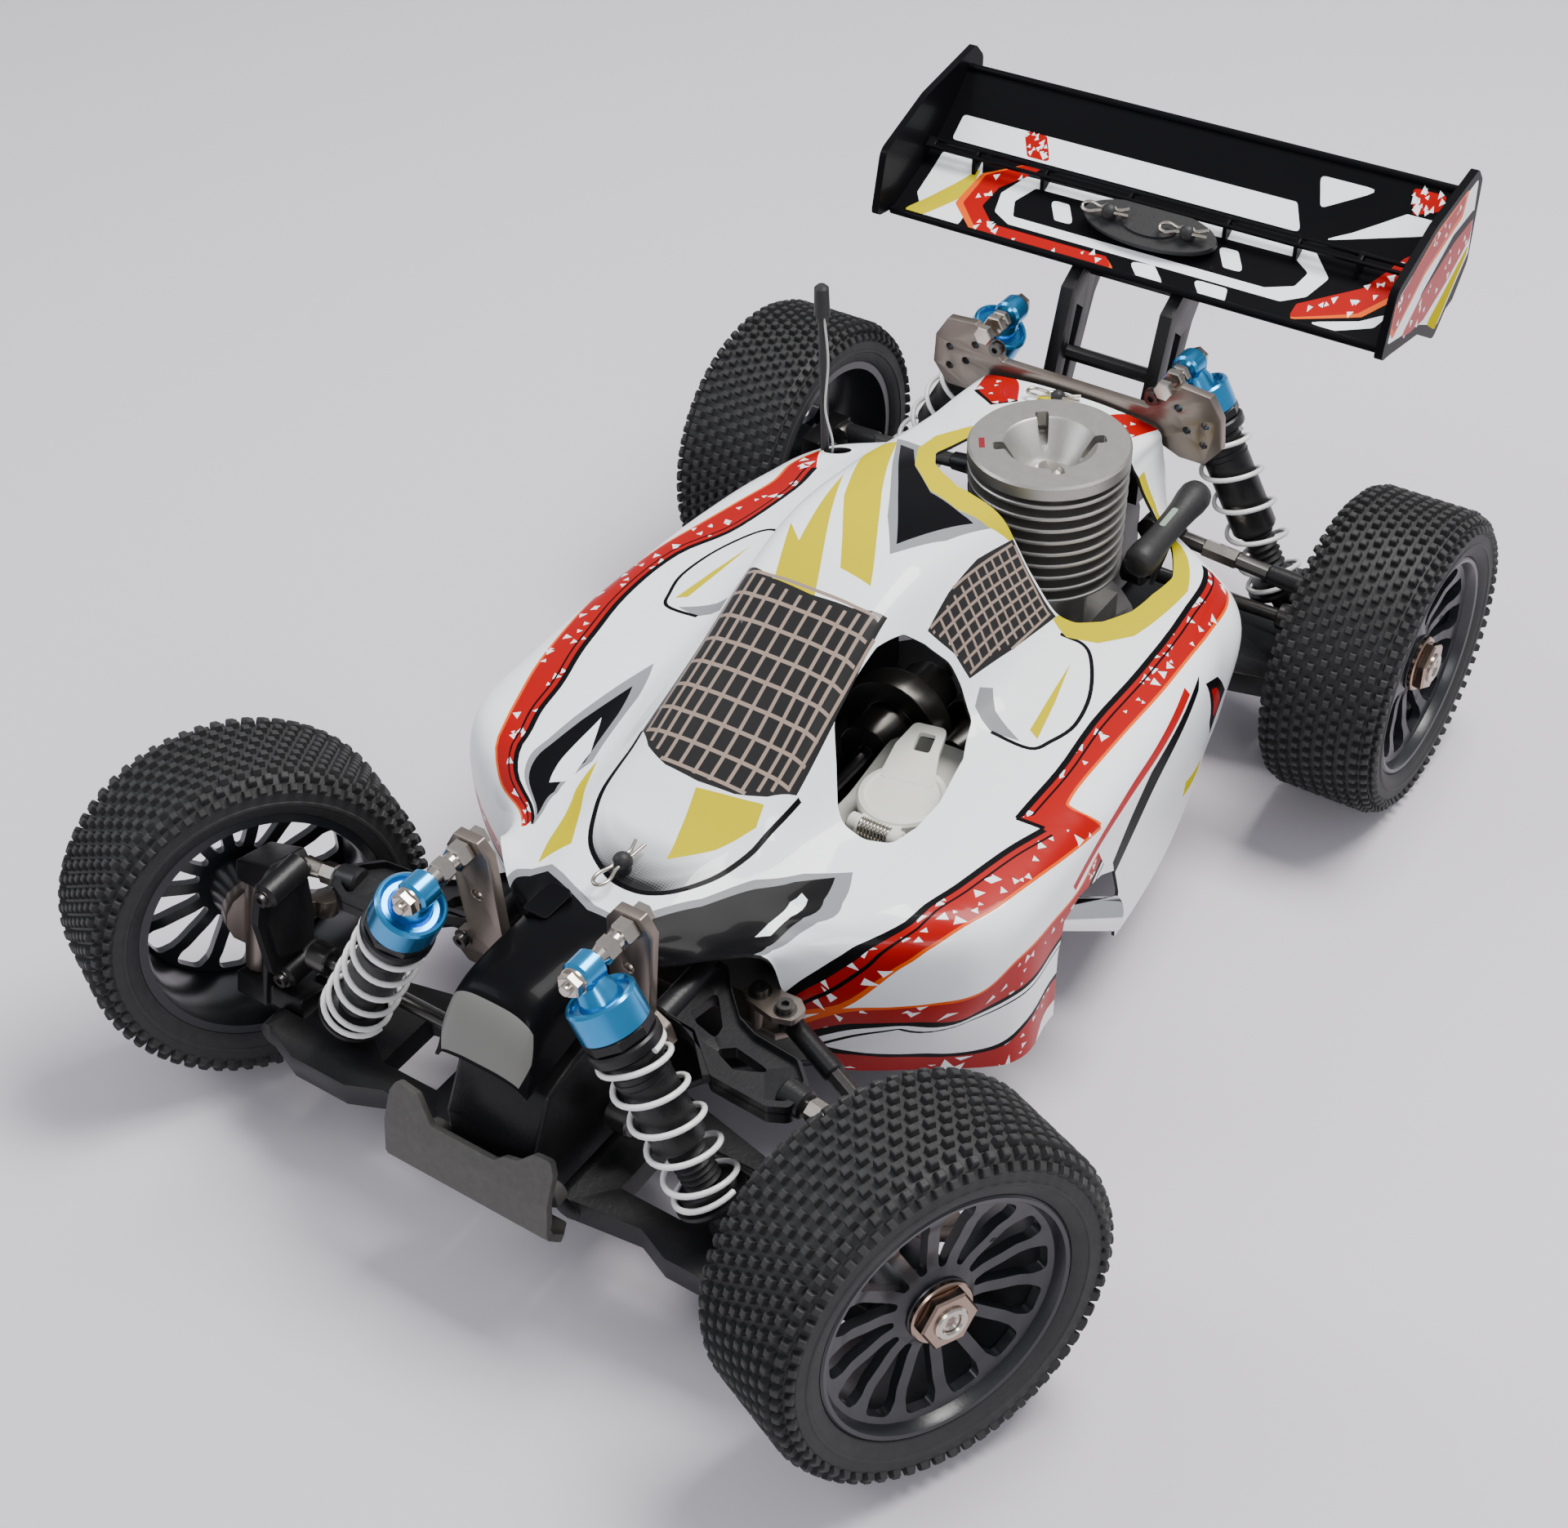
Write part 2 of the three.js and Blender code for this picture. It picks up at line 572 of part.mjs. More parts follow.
// ---------------------------------------------------------------- front corners
function buildFrontCorner({ side, sign }) {
  const name = `front_${side}`;
  const armLow = ARM_Z - ARM_THICK / 2;
  const arm = cut(
    join(
      slab([[ARM_INNER_X, -188], [50, -185], [62, -190], [84, -190], [ARM_OUTER_X, -184], [ARM_OUTER_X, -150],
        [70, -144], [ARM_INNER_X, -134]], armLow, armLow + ARM_THICK),
      bar([ARM_INNER_X, -188, ARM_Z], [ARM_INNER_X, -134, ARM_Z], PIN_BOSS, 12),
      bar([ARM_OUTER_X, -184, ARM_Z], [ARM_OUTER_X, -150, ARM_Z], PIN_BOSS, 12),
    ),
    slab([[36, -176], [58, -176], [58, -153], [36, -147]], armLow - 1, armLow + ARM_THICK + 1),
    slab([[91.5, -175.7], [120, -175.7], [120, -158.3], [91.5, -158.3]], armLow - 1, armLow + ARM_THICK + 1),
  );
  addPiece(`lower_arm_${name}`, handed(sign, arm), 'nylon');

  const mainOutline = [
    [33, -146.5], [33, -121], [39.5, -121], [54, -137], [62, -140], [79, -141.5], [86, -148],
    [86, -158], [80, -161], [60, -160], [46, -148],
  ];
  const upper = cut(
    join(
      slab(mainOutline, 83, 90),
      bar([33, -146.5, 86.5], [33, -121, 86.5], 4.5, 10),
      bar([85, -152, 86.5], [101, -154, 86.5], 2, 8),
    ),
    slab([[39.5, -141], [41.5, -130], [51, -141], [52, -146], [44, -144]], 80, 95),
    slab([[54, -149.5], [59, -145.5], [74, -148], [63, -153]], 80, 95),
  );
  addPiece(`upper_arm_${name}`, handed(sign, upper), 'nylon');

  // The hub carrier and everything outboard of it leans back by the caster angle.
  const theta = STEER[side];
  const lean = Math.asin(Math.sin(CASTER) * Math.sin(theta));
  const sideways = (FRONT_WHEEL_X - KINGPIN_X) * sign * lean;
  const caster = new THREE.Group();
  caster.position.set(sign * KINGPIN_X, -AXLE, leanLift(lean) + sideways);
  caster.rotation.x = -CASTER;
  group.add(caster);

  const hub = [
    [-9.5, -26], [4, -26], [4, -17.5], [-6.8, -17.5], [-6.8, 17.5], [4, 17.5], [4, 25],
    [-11, 29], [-14, 25], [-10, 17],
  ];
  const lug = box([ARM_OUTER_X - KINGPIN_X - 4, -6, -26], [-8, 6, -18.5]);
  addPiece(`hub_carrier_${name}`, handed(sign, join(frontPlate(hub, -8, 8), lug)), 'nylon', caster);

  const steered = new THREE.Group();
  steered.rotation.z = theta;
  caster.add(steered);
  const knuckle = join(
    bar([0, 0, -16.8], [0, 0, 16.8], 5.6, 12),
    bar([3, 0, 0], [9, 0, 0], 11, 14),
    bar([8, 0, 0], [FRONT_WHEEL_X - KINGPIN_X + 4.6, 0, 0], 4, 10),
    box([0, 4, -3], [5, 22, 3]),
    bar([2, 22, -3], [2, 22, 3], 4.5, 10),
  );
  addPiece(`knuckle_${name}`, handed(sign, knuckle), 'bronze', steered);
  addWheel(steered, name, sign, FRONT_WHEEL_X - KINGPIN_X);
}

// ---------------------------------------------------------------- rear corners
function buildRearCorner({ side, sign }) {
  const name = `rear_${side}`;
  const armLow = ARM_Z - ARM_THICK / 2;
  const outline = [
    [ARM_INNER_X, 136], [70, 140], [ARM_OUTER_X, 147],
    [ARM_OUTER_X, 179], [76, 187], [ARM_INNER_X, 188],
  ];
  const arm = cut(
    join(
      slab(outline, armLow, armLow + ARM_THICK),
      bar([ARM_INNER_X, 136, ARM_Z], [ARM_INNER_X, 188, ARM_Z], PIN_BOSS, 12),
      bar([ARM_OUTER_X, 147, ARM_Z], [ARM_OUTER_X, 179, ARM_Z], PIN_BOSS, 12),
    ),
    slab([[38, 148], [62, 152], [62, 172], [38, 176]], armLow - 1, armLow + ARM_THICK + 1),
    slab([[91.5, 154.8], [120, 154.8], [120, 170.2], [91.5, 170.2]], armLow - 1, armLow + ARM_THICK + 1),
  );
  addPiece(`lower_arm_${name}`, handed(sign, arm), 'nylon');

  const link = join(
    bar([37, 157, 82], [100, 157, 77], 3, 8),
    bar([37, 153, 82], [37, 160, 82], 5, 10),
    bar([100, 153, 77], [100, 160, 77], 4, 10),
  );
  addPiece(`upper_link_${name}`, handed(sign, link), 'steel');

  const hub = join(
    box([108.5, AXLE - 12, 31], [117, AXLE + 12, 72]),
    box([95, AXLE - 6.5, 32.5], [110, AXLE + 6.5, 39.5]),
    bar([108, AXLE, TYRE_RADIUS], [REAR_WHEEL_X + 4.6, AXLE, TYRE_RADIUS], 4, 10),
    bar([106, AXLE, TYRE_RADIUS], [119, AXLE, TYRE_RADIUS], 11, 14),
  );
  addPiece(`rear_hub_${side}`, handed(sign, hub), 'nylon');

  const upright = new THREE.Group();
  upright.position.set(0, AXLE, TYRE_RADIUS);
  group.add(upright);
  addWheel(upright, name, sign, REAR_WHEEL_X);
}

// ---------------------------------------------------------------- shocks
// Each shock is built along its own Z axis, its top eye at its origin, and then tilted into place.
class Coil extends THREE.Curve {
  constructor(radius, top, length, turns) {
    super();
    Object.assign(this, { radius, top, length, turns });
  }

  getPoint(t, target = new THREE.Vector3()) {
    const angle = 2 * Math.PI * this.turns * t;
    const [x, y] = [this.radius * Math.cos(angle), this.radius * Math.sin(angle)];
    return target.set(x, y, this.top - this.length * t);
  }
}

function addShock(end, { side, sign }) {
  const { y, top, foot } = SHOCK[end];
  const name = `${end}_${side}`;
  const length = Math.hypot(foot[0] - top[0], foot[1] - top[1]);
  const tilt = new THREE.Group();
  tilt.position.set(sign * top[0], y, top[1]);
  tilt.rotation.y = -sign * Math.atan2(foot[0] - top[0], top[1] - foot[1]);
  group.add(tilt);
  const bodyEnd = -0.66 * length;
  const cup = 12 - length;

  const body = join(
    bar([0, -5, 0], [0, 5, 0], 5, 10),
    bar([0, 0, -19], [0, 0, -3], CAP_RADIUS, 16, CAP_RADIUS - 4),
    bar([0, 0, -26], [0, 0, -18.5], CAP_RADIUS + 0.4, 16),
    bar([0, 0, bodyEnd], [0, 0, -25], SHOCK_RADIUS, 12),
  );
  const bore = bar([0, 0, bodyEnd - 1], [0, 0, -28], 2.4, 8);
  addPiece(`shock_body_${name}`, cut(body, bore), 'blue', tilt);

  const shaft = join(
    bar([0, 0, 4 - length], [0, 0, bodyEnd + 12], 1.8, 8),
    bar([0, 0, cup - 3], [0, 0, cup], CAP_RADIUS + 0.4, 14),
    bar([0, -4, -length], [0, 4, -length], 4, 10),
    bar([0, 0, 2 - length], [0, 0, cup - 2], 4, 10),
  );
  addPiece(`shock_rod_${name}`, shaft, 'steel', tilt);

  const wire = new THREE.Shape([0, 1, 2, 3].map((i) => new THREE.Vector2(
    SPRING_WIRE * Math.cos(0.5 * Math.PI * i), SPRING_WIRE * Math.sin(0.5 * Math.PI * i))));
  const springTop = -26 - SPRING_WIRE - GAP;
  const springEnd = cup + SPRING_WIRE + GAP;
  const path = new Coil(SPRING_RADIUS, springTop, springTop - springEnd, SPRING_TURNS);
  const coil = new THREE.ExtrudeGeometry(wire, {
    steps: SPRING_TURNS * 7, bevelEnabled: false, extrudePath: path,
  });
  addPiece(`spring_${name}`, coil, 'spring', tilt);
}

// ---------------------------------------------------------------- steering
function buildSteering() {
  const shift = STEERING_SHIFT;
  const plate = slab(
    [[shift - STEERING_HALF, -117], [shift + STEERING_HALF, -117], [shift + STEERING_HALF + 4, -112],
      [shift + STEERING_HALF, -107], [shift - STEERING_HALF, -107], [shift - STEERING_HALF - 4, -112]],
    STEERING_PLATE_Z, STEERING_PLATE_Z + 3);
  addPiece('steering_plate', plate, 'bronze');
  const saver = join(
    bar([-22, -86, 30.3], [-22, -86, 58], 6, 12),
    slab([[-27, -86], [-17, -86], [-8, -112], [-14, -114]], 53, 58),
  );
  addPiece('servo_saver', saver, 'nylon');
  const ends = {
    left: [[shift + STEERING_HALF, STEERING_Y, 68], [129, -143, 60]],
    right: [[shift - STEERING_HALF, STEERING_Y, 68], [-107, -142, 60]],
  };
  for (const { side } of SIDES) {
    const [inner, outer] = ends[side].map((p) => new THREE.Vector3(...p));
    const start = inner.clone().lerp(outer, 0.02);
    const stop = inner.clone().lerp(outer, 0.84);
    addPiece(`tie_rod_${side}`, bar(start.toArray(), stop.toArray(), 3, 8), 'steel');
  }
}

// ---------------------------------------------------------------- assembly
buildFrame();
buildTowers();
buildWing();
buildShell();
buildPower();
buildDrive();
buildSteering();
for (const corner of SIDES) {
  buildFrontCorner(corner);
  buildRearCorner(corner);
  addShock('front', corner);
  addShock('rear', corner);
}

// The finished car stands on z = 0 with the centre of its bounding box over the origin.
group.updateMatrixWorld(true);
const bounds = new THREE.Box3().setFromObject(group, true);
const centre = bounds.getCenter(new THREE.Vector3());
group.position.set(-centre.x, -centre.y, -bounds.min.z);
group.updateMatrixWorld(true);

export default group;
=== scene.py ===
"""Looks for a 1:8 nitro off-road buggy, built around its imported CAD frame.

The car frame used for shapes is in millimetres, with the middle of the wheelbase at the origin and the
ground at z = 0. The nose points towards -Y and the car's left towards +X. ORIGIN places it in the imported
frame, which is in metres.
"""
import json
import math
import random
from bisect import bisect_right

import bmesh
import bpy
import numpy as np
from mathutils import Matrix, Vector
from mathutils.geometry import delaunay_2d_cdt


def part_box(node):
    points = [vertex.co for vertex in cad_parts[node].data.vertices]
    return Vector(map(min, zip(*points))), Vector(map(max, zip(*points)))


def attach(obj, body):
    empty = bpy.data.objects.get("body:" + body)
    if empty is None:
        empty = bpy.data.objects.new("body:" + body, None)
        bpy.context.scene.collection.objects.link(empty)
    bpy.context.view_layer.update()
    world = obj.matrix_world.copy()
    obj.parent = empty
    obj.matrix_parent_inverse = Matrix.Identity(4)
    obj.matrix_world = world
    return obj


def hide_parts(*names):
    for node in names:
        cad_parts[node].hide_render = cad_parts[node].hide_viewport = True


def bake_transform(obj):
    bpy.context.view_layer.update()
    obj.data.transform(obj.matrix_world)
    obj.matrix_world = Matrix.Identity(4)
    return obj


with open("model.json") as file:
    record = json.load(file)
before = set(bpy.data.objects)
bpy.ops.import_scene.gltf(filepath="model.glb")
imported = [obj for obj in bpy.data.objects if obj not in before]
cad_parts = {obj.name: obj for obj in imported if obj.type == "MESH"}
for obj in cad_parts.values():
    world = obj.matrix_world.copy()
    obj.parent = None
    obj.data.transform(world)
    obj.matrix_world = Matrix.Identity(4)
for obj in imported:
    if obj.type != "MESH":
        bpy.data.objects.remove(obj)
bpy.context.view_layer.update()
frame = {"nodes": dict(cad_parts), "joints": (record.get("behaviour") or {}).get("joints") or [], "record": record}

# ------------------------------------------------------------------ frame and driving sizes
MM = 0.001
PLATE_MIDDLE_Y = -1.0          # the chassis plate runs from -190 to 188 in the car frame
plate_low, plate_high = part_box("chassis_plate")
ORIGIN = Vector((
    (plate_low[0] + plate_high[0]) / 2,
    (plate_low[1] + plate_high[1]) / 2 - PLATE_MIDDLE_Y * MM,
    0.0,
))
CAR = Matrix.Translation(ORIGIN) @ Matrix.Scale(MM, 4)
SIDES = (("left", 1), ("right", -1))

# ------------------------------------------------------------------ camera
CAMERA = {"azimuth": 35.52, "elevation": 40.60, "roll": -2.24, "distance": 911.35, "lens": 55.14}
CAMERA_TARGET = Vector((-54.18, 42.20, 7.07))


def make_camera():
    azimuth, elevation, roll = (math.radians(CAMERA[k]) for k in ("azimuth", "elevation", "roll"))
    back = Vector((
        math.sin(azimuth) * math.cos(elevation),
        -math.cos(azimuth) * math.cos(elevation),
        math.sin(elevation),
    ))
    right = Vector((0, 0, 1)).cross(back).normalized()
    up = back.cross(right)
    x_axis = right * math.cos(roll) + up * math.sin(roll)
    y_axis = up * math.cos(roll) - right * math.sin(roll)
    place = CAR @ (CAMERA_TARGET + back * CAMERA["distance"])
    data = bpy.data.cameras.new("camera")
    data.sensor_width = 36
    data.sensor_fit = "HORIZONTAL"
    data.lens = CAMERA["lens"]
    data.clip_start = 0.01
    camera = bpy.data.objects.new("camera", data)
    turn = Matrix((x_axis, y_axis, back)).transposed().to_4x4()
    camera.matrix_world = Matrix.Translation(place) @ turn
    bpy.context.scene.collection.objects.link(camera)
    bpy.context.scene.camera = camera


# ------------------------------------------------------------------ materials
MATERIALS = {}


def add_noise(nodes, links, place, scale, detail):
    noise = nodes.new("ShaderNodeTexNoise")
    noise.inputs["Scale"].default_value = scale
    noise.inputs["Detail"].default_value = detail
    links.new(place.outputs["Object"], noise.inputs["Vector"])
    return noise


def material(name, color, roughness, metallic=0.0, coat=0.0, specular=0.5, mottle=0.0,
             mottle_scale=400.0, bump=0.0, bump_scale=900.0, rough_spread=0.0):
    """A principled material whose colour and roughness vary with noise in object space."""
    if name in MATERIALS:
        return MATERIALS[name]
    made = bpy.data.materials.new(name)
    made.use_nodes = True
    nodes, links = made.node_tree.nodes, made.node_tree.links
    shader = nodes["Principled BSDF"]
    shader.inputs["Base Color"].default_value = (*color, 1)
    shader.inputs["Roughness"].default_value = roughness
    shader.inputs["Metallic"].default_value = metallic
    shader.inputs["Specular IOR Level"].default_value = specular
    shader.inputs["Coat Weight"].default_value = coat
    shader.inputs["Coat Roughness"].default_value = 0.04
    place = nodes.new("ShaderNodeTexCoord")
    if mottle:
        noise = add_noise(nodes, links, place, mottle_scale, 4)
        ramp = nodes.new("ShaderNodeMix")
        ramp.data_type = "RGBA"
        ramp.inputs["A"].default_value = (*[c * (1 - mottle) for c in color], 1)
        ramp.inputs["B"].default_value = (*[min(1, c * (1 + mottle)) for c in color], 1)
        links.new(noise.outputs["Fac"], ramp.inputs["Factor"])
        links.new(ramp.outputs["Result"], shader.inputs["Base Color"])
    if rough_spread:
        cloud = add_noise(nodes, links, place, mottle_scale * 0.25, 3)
        span = nodes.new("ShaderNodeMapRange")
        span.inputs["To Min"].default_value = max(0.0, roughness - rough_spread)
        span.inputs["To Max"].default_value = min(1.0, roughness + rough_spread)
        links.new(cloud.outputs["Fac"], span.inputs["Value"])
        links.new(span.outputs["Result"], shader.inputs["Roughness"])
    if bump:
        grain = add_noise(nodes, links, place, bump_scale, 3)
        lift = nodes.new("ShaderNodeBump")
        lift.inputs["Strength"].default_value = bump
        lift.inputs["Distance"].default_value = 0.0002
        links.new(grain.outputs["Fac"], lift.inputs["Height"])
        links.new(lift.outputs["Normal"], shader.inputs["Normal"])
    MATERIALS[name] = made
    return made


def nylon():
    return material("black_nylon", (0.009, 0.009, 0.010), 0.40, specular=0.32, mottle=0.25, bump=0.35,
                    rough_spread=0.08)


def matt_nylon():
    return material("matt_nylon", (0.018, 0.018, 0.019), 0.52, specular=0.35, mottle=0.2, bump=0.5,
                    rough_spread=0.06)


def shell_paint(name, color, coat=0.45, specular=0.12):
    return material(f"shell_{name}", color, 0.34, coat=coat, specular=specular, mottle=0.02, mottle_scale=90,
                    rough_spread=0.05)


def rubber():
    return material("tyre_rubber", (0.022, 0.022, 0.023), 0.62, mottle=0.35, mottle_scale=260, bump=0.6,
                    bump_scale=1400, rough_spread=0.1, specular=0.35)


def dark_screw():
    return material("dark_screw", (0.10, 0.095, 0.09), 0.3, metallic=0.9, mottle=0.15, rough_spread=0.05)


def steel():
    return material("steel", (0.52, 0.475, 0.42), 0.22, metallic=1, mottle=0.1, rough_spread=0.08)


def bronze():
    return material("bronze_alloy", (0.225, 0.19, 0.165), 0.36, metallic=0.85, mottle=0.08, bump=0.1,
                    rough_spread=0.06)


def blue_alloy():
    return material("blue_alloy", (0.04, 0.29, 0.60), 0.22, metallic=0.85, mottle=0.08, rough_spread=0.05)


def raw_alloy():
    return material("raw_alloy", (0.38, 0.37, 0.35), 0.42, metallic=0.9, mottle=0.08, mottle_scale=1500,
                    bump=0.25, bump_scale=2500, rough_spread=0.05)


def chrome():
    return material("chrome", (0.78, 0.78, 0.79), 0.10, metallic=1, mottle=0.04, rough_spread=0.03)


def spring_white():
    return material("spring_white", (0.82, 0.82, 0.81), 0.30, coat=0.5, mottle=0.03, rough_spread=0.05)


def tank_plastic():
    made = material("tank_plastic", (0.74, 0.74, 0.68), 0.38, mottle=0.04, mottle_scale=200,
                    rough_spread=0.06)
    shader = made.node_tree.nodes["Principled BSDF"]
    shader.inputs["Subsurface Weight"].default_value = 0.35
    shader.inputs["Subsurface Radius"].default_value = (0.004, 0.004, 0.003)
    return made


# ------------------------------------------------------------------ mesh helpers
def link_mesh(name, mesh, made, body, smooth_angle=35, replaces=()):
    """Turns a mesh in car millimetres into a piece that rides on a body."""
    mesh.transform(CAR)
    piece = bpy.data.objects.new(name, mesh)
    bpy.context.scene.collection.objects.link(piece)
    for one in made if isinstance(made, (list, tuple)) else [made]:
        mesh.materials.append(one)
    mesh.shade_smooth()
    if smooth_angle < 180:
        mesh.set_sharp_from_angle(angle=math.radians(smooth_angle))
    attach(piece, body)
    if replaces:
        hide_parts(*replaces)
    return piece


class Form:
    """Collects closed shapes, given in car millimetres, into one mesh."""

    def __init__(self):
        self.points, self.faces, self.kinds = [], [], []

    def add(self, points, faces, kind=0, turn=None):
        start = len(self.points)
        moved = [turn @ Vector(p) for p in points] if turn else [Vector(p) for p in points]
        self.points += moved
        self.faces += [tuple(i + start for i in face) for face in faces]
        self.kinds += [kind] * len(faces)
        return self

    def mesh(self, name):
        data = bpy.data.meshes.new(name)
        data.from_pydata(self.points, [], self.faces)
        data.polygons.foreach_set("material_index", self.kinds)
        data.update()
        return data


def aim(origin, along):
    """A frame at origin whose local Z points along a direction."""
    turn = Vector((0, 0, 1)).rotation_difference(Vector(along)).to_matrix().to_4x4()
    return Matrix.Translation(Vector(origin)) @ turn


def lathe(profile, sides=48, closed=False):
    """Turns (radius, z) pairs about Z. Open profiles that start and end on the axis make closed bodies."""
    points, faces = [], []
    rings = []
    for radius, z in profile:
        if radius < 1e-6:
            rings.append([len(points)])
            points.append((0, 0, z))
        else:
            rings.append(list(range(len(points), len(points) + sides)))
            points += [(radius * math.cos(2 * math.pi * i / sides),
                        radius * math.sin(2 * math.pi * i / sides), z)
                       for i in range(sides)]
    pairs = list(zip(rings, rings[1:]))
    if closed:
        pairs.append((rings[-1], rings[0]))
    for low, high in pairs:
        for i in range(sides):
            j = (i + 1) % sides
            if len(low) == 1 and len(high) == 1:
                break
            if len(low) == 1:
                faces.append((low[0], high[j], high[i]))
            elif len(high) == 1:
                faces.append((low[i], low[j], high[0]))
            else:
                faces.append((low[i], low[j], high[j], high[i]))
    return points, faces


def rod(start, end, radius, sides=24, bevel=0.0, end_radius=None):
    """A round bar between two points, its rims chamfered by bevel."""
    start, end = Vector(start), Vector(end)
    length = (end - start).length
    last = radius if end_radius is None else end_radius
    if bevel:
        profile = [(0, 0), (radius - bevel, 0), (radius, bevel), (last, length - bevel),
                   (last - bevel, length), (0, length)]
    else:
        profile = [(0, 0), (radius, 0), (last, length), (0, length)]
    points, faces = lathe(profile, sides)
    turn = aim(start, end - start)
    return [turn @ Vector(p) for p in points], faces


def ball(centre, radius, sides=24, rings=12):
    profile = [(radius * math.sin(math.pi * i / rings), -radius * math.cos(math.pi * i / rings))
               for i in range(rings + 1)]
    profile[0] = (0, -radius)
    profile[-1] = (0, radius)
    points, faces = lathe(profile, sides)
    return [Vector(p) + Vector(centre) for p in points], faces


def hexagon(start, end, across, bevel=0.3):
    """A hexagonal bar, across its flats."""
    return rod(start, end, across / math.sqrt(3), 6, bevel)


def sweep(path, radius, sides=12):
    """A round tube along points, with flat ends."""
    path = [Vector(p) for p in path]
    points, faces = [], []
    normal = None
    for i, here in enumerate(path):
        ahead = (path[min(i + 1, len(path) - 1)] - path[max(i - 1, 0)]).normalized()
        if normal is None:
            normal = ahead.orthogonal().normalized()
        normal = (normal - ahead * normal.dot(ahead)).normalized()
        side = ahead.cross(normal)
        width = radius[i] if isinstance(radius, (list, tuple)) else radius
        for k in range(sides):
            angle = 2 * math.pi * k / sides
            points.append(here + normal * (width * math.cos(angle)) + side * (width * math.sin(angle)))
    for i in range(len(path) - 1):
        for k in range(sides):
            j = (k + 1) % sides
            a, b = i * sides, (i + 1) * sides
            faces.append((a + k, a + j, b + j, b + k))
    faces.append(tuple(reversed(range(sides))))
    faces.append(tuple(range((len(path) - 1) * sides, len(path) * sides)))
    return points, faces


def smooth_path(points, steps=8):
    """A Catmull-Rom curve through given points."""
    points = [Vector(p) for p in points]
    padded = [points[0] * 2 - points[1], *points, points[-1] * 2 - points[-2]]
    curve = []
    for a, b, c, d in zip(padded, padded[1:], padded[2:], padded[3:]):
        for i in range(steps):
            t = i / steps
            curve.append(0.5 * ((2 * b) + (c - a) * t + (2 * a - 5 * b + 4 * c - d) * t ** 2
                                + (3 * b - a - 3 * c + d) * t ** 3))
    return curve + [points[-1]]


def rounded(corners, radius, steps=5):
    """A polygon with its corners filleted. A radius may be given for each corner."""
    out = []
    count = len(corners)
    for i, corner in enumerate(corners):
        here = Vector(corner[:2])
        size = corner[2] if len(corner) > 2 else radius
        before = Vector(corners[i - 1][:2]) - here
        after = Vector(corners[(i + 1) % count][:2]) - here
        if size <= 0 or before.length < 1e-6 or after.length < 1e-6:
            out.append(tuple(here))
            continue
        angle = before.angle(after)
        cut = min(size / max(math.tan(angle / 2), 1e-3), before.length * 0.48, after.length * 0.48)
        start, end = here + before.normalized() * cut, here + after.normalized() * cut
        for k in range(steps + 1):
            t = k / steps
            out.append(tuple(start * (1 - t) ** 2 + here * (2 * t * (1 - t)) + end * t ** 2))
    return out


def ring(centre, radius, sides=20):
    """A circle's points in a plane."""
    return [(centre[0] + radius * math.cos(2 * math.pi * i / sides),
             centre[1] + radius * math.sin(2 * math.pi * i / sides))
            for i in range(sides)]


def inside(point, loop):
    """Even-odd test of a point against a closed loop."""
    x, y = point
    hit = False
    for (x0, y0), (x1, y1) in zip(loop, loop[1:] + loop[:1]):
        if (y0 > y) != (y1 > y) and x < (x1 - x0) * (y - y0) / (y1 - y0) + x0:
            hit = not hit
    return hit


def densify(loop, spacing):
    out = []
    for (x0, y0), (x1, y1) in zip(loop, loop[1:] + loop[:1]):
        steps = max(1, int(math.hypot(x1 - x0, y1 - y0) / spacing))
        out += [(x0 + (x1 - x0) * k / steps, y0 + (y1 - y0) * k / steps) for k in range(steps)]
    return out


def fill_region(outline, holes=(), spacing=3.0, grid=True):
    """Triangulates a plane region with holes.

    Returns points, triangles and boundary edges, those of the outline first and then those of the holes.
    """
    loops = [densify([tuple(p) for p in loop], spacing) for loop in (outline, *holes)]
    points, edges = [], []
    for loop in loops:
        start = len(points)
        points += loop
        edges += [(start + i, start + (i + 1) % len(loop)) for i in range(len(loop))]
    if grid:
        border = np.array(points)
        xs, ys = border[:, 0], border[:, 1]
        row = 0
        y = ys.min() + spacing * 0.5
        while y < ys.max():
            x = xs.min() + spacing * (0.5 if row % 2 else 1.0)
            while x < xs.max():
                if inside((x, y), loops[0]) and not any(inside((x, y), hole) for hole in loops[1:]):
                    if np.min((xs - x) ** 2 + (ys - y) ** 2) > (0.45 * spacing) ** 2:
                        points.append((x, y))
                x += spacing
            y += spacing * 0.87
            row += 1
    result = delaunay_2d_cdt([Vector(p) for p in points], edges, [], 0, 1e-5)
    out_points, _, out_faces = result[0], result[1], result[2]
    keep = []
    for face in out_faces:
        middle = sum((out_points[i] for i in face), Vector((0, 0))) / len(face)
        if inside(tuple(middle), loops[0]) and not any(inside(tuple(middle), hole) for hole in loops[1:]):
            keep.append(tuple(face))
    return [tuple(p) for p in out_points], keep


def plate(outline, holes, low, high, spacing=40.0, grid=False):
    """A flat or gently curved slab: low and high are heights, or functions of (x, y)."""
    flat, triangles = fill_region(outline, holes, spacing, grid)
    top = high if callable(high) else (lambda x, y: high)
    base = low if callable(low) else (lambda x, y: low)
    count = len(flat)
    points = [(x, y, top(x, y)) for x, y in flat] + [(x, y, base(x, y)) for x, y in flat]
    faces = []
    uses = {}
    for a, b, c in triangles:
        pa, pb, pc = (Vector(flat[i]) for i in (a, b, c))
        if (pb - pa).cross(pc - pa) < 0:
            b, c = c, b
        faces += [(a, b, c), (c + count, b + count, a + count)]
        for edge in ((a, b), (b, c), (c, a)):
            uses[frozenset(edge)] = None if frozenset(edge) in uses else edge
    for edge in uses.values():
        if edge:
            a, b = edge
            faces.append((b, a, a + count, b + count))
    return points, faces


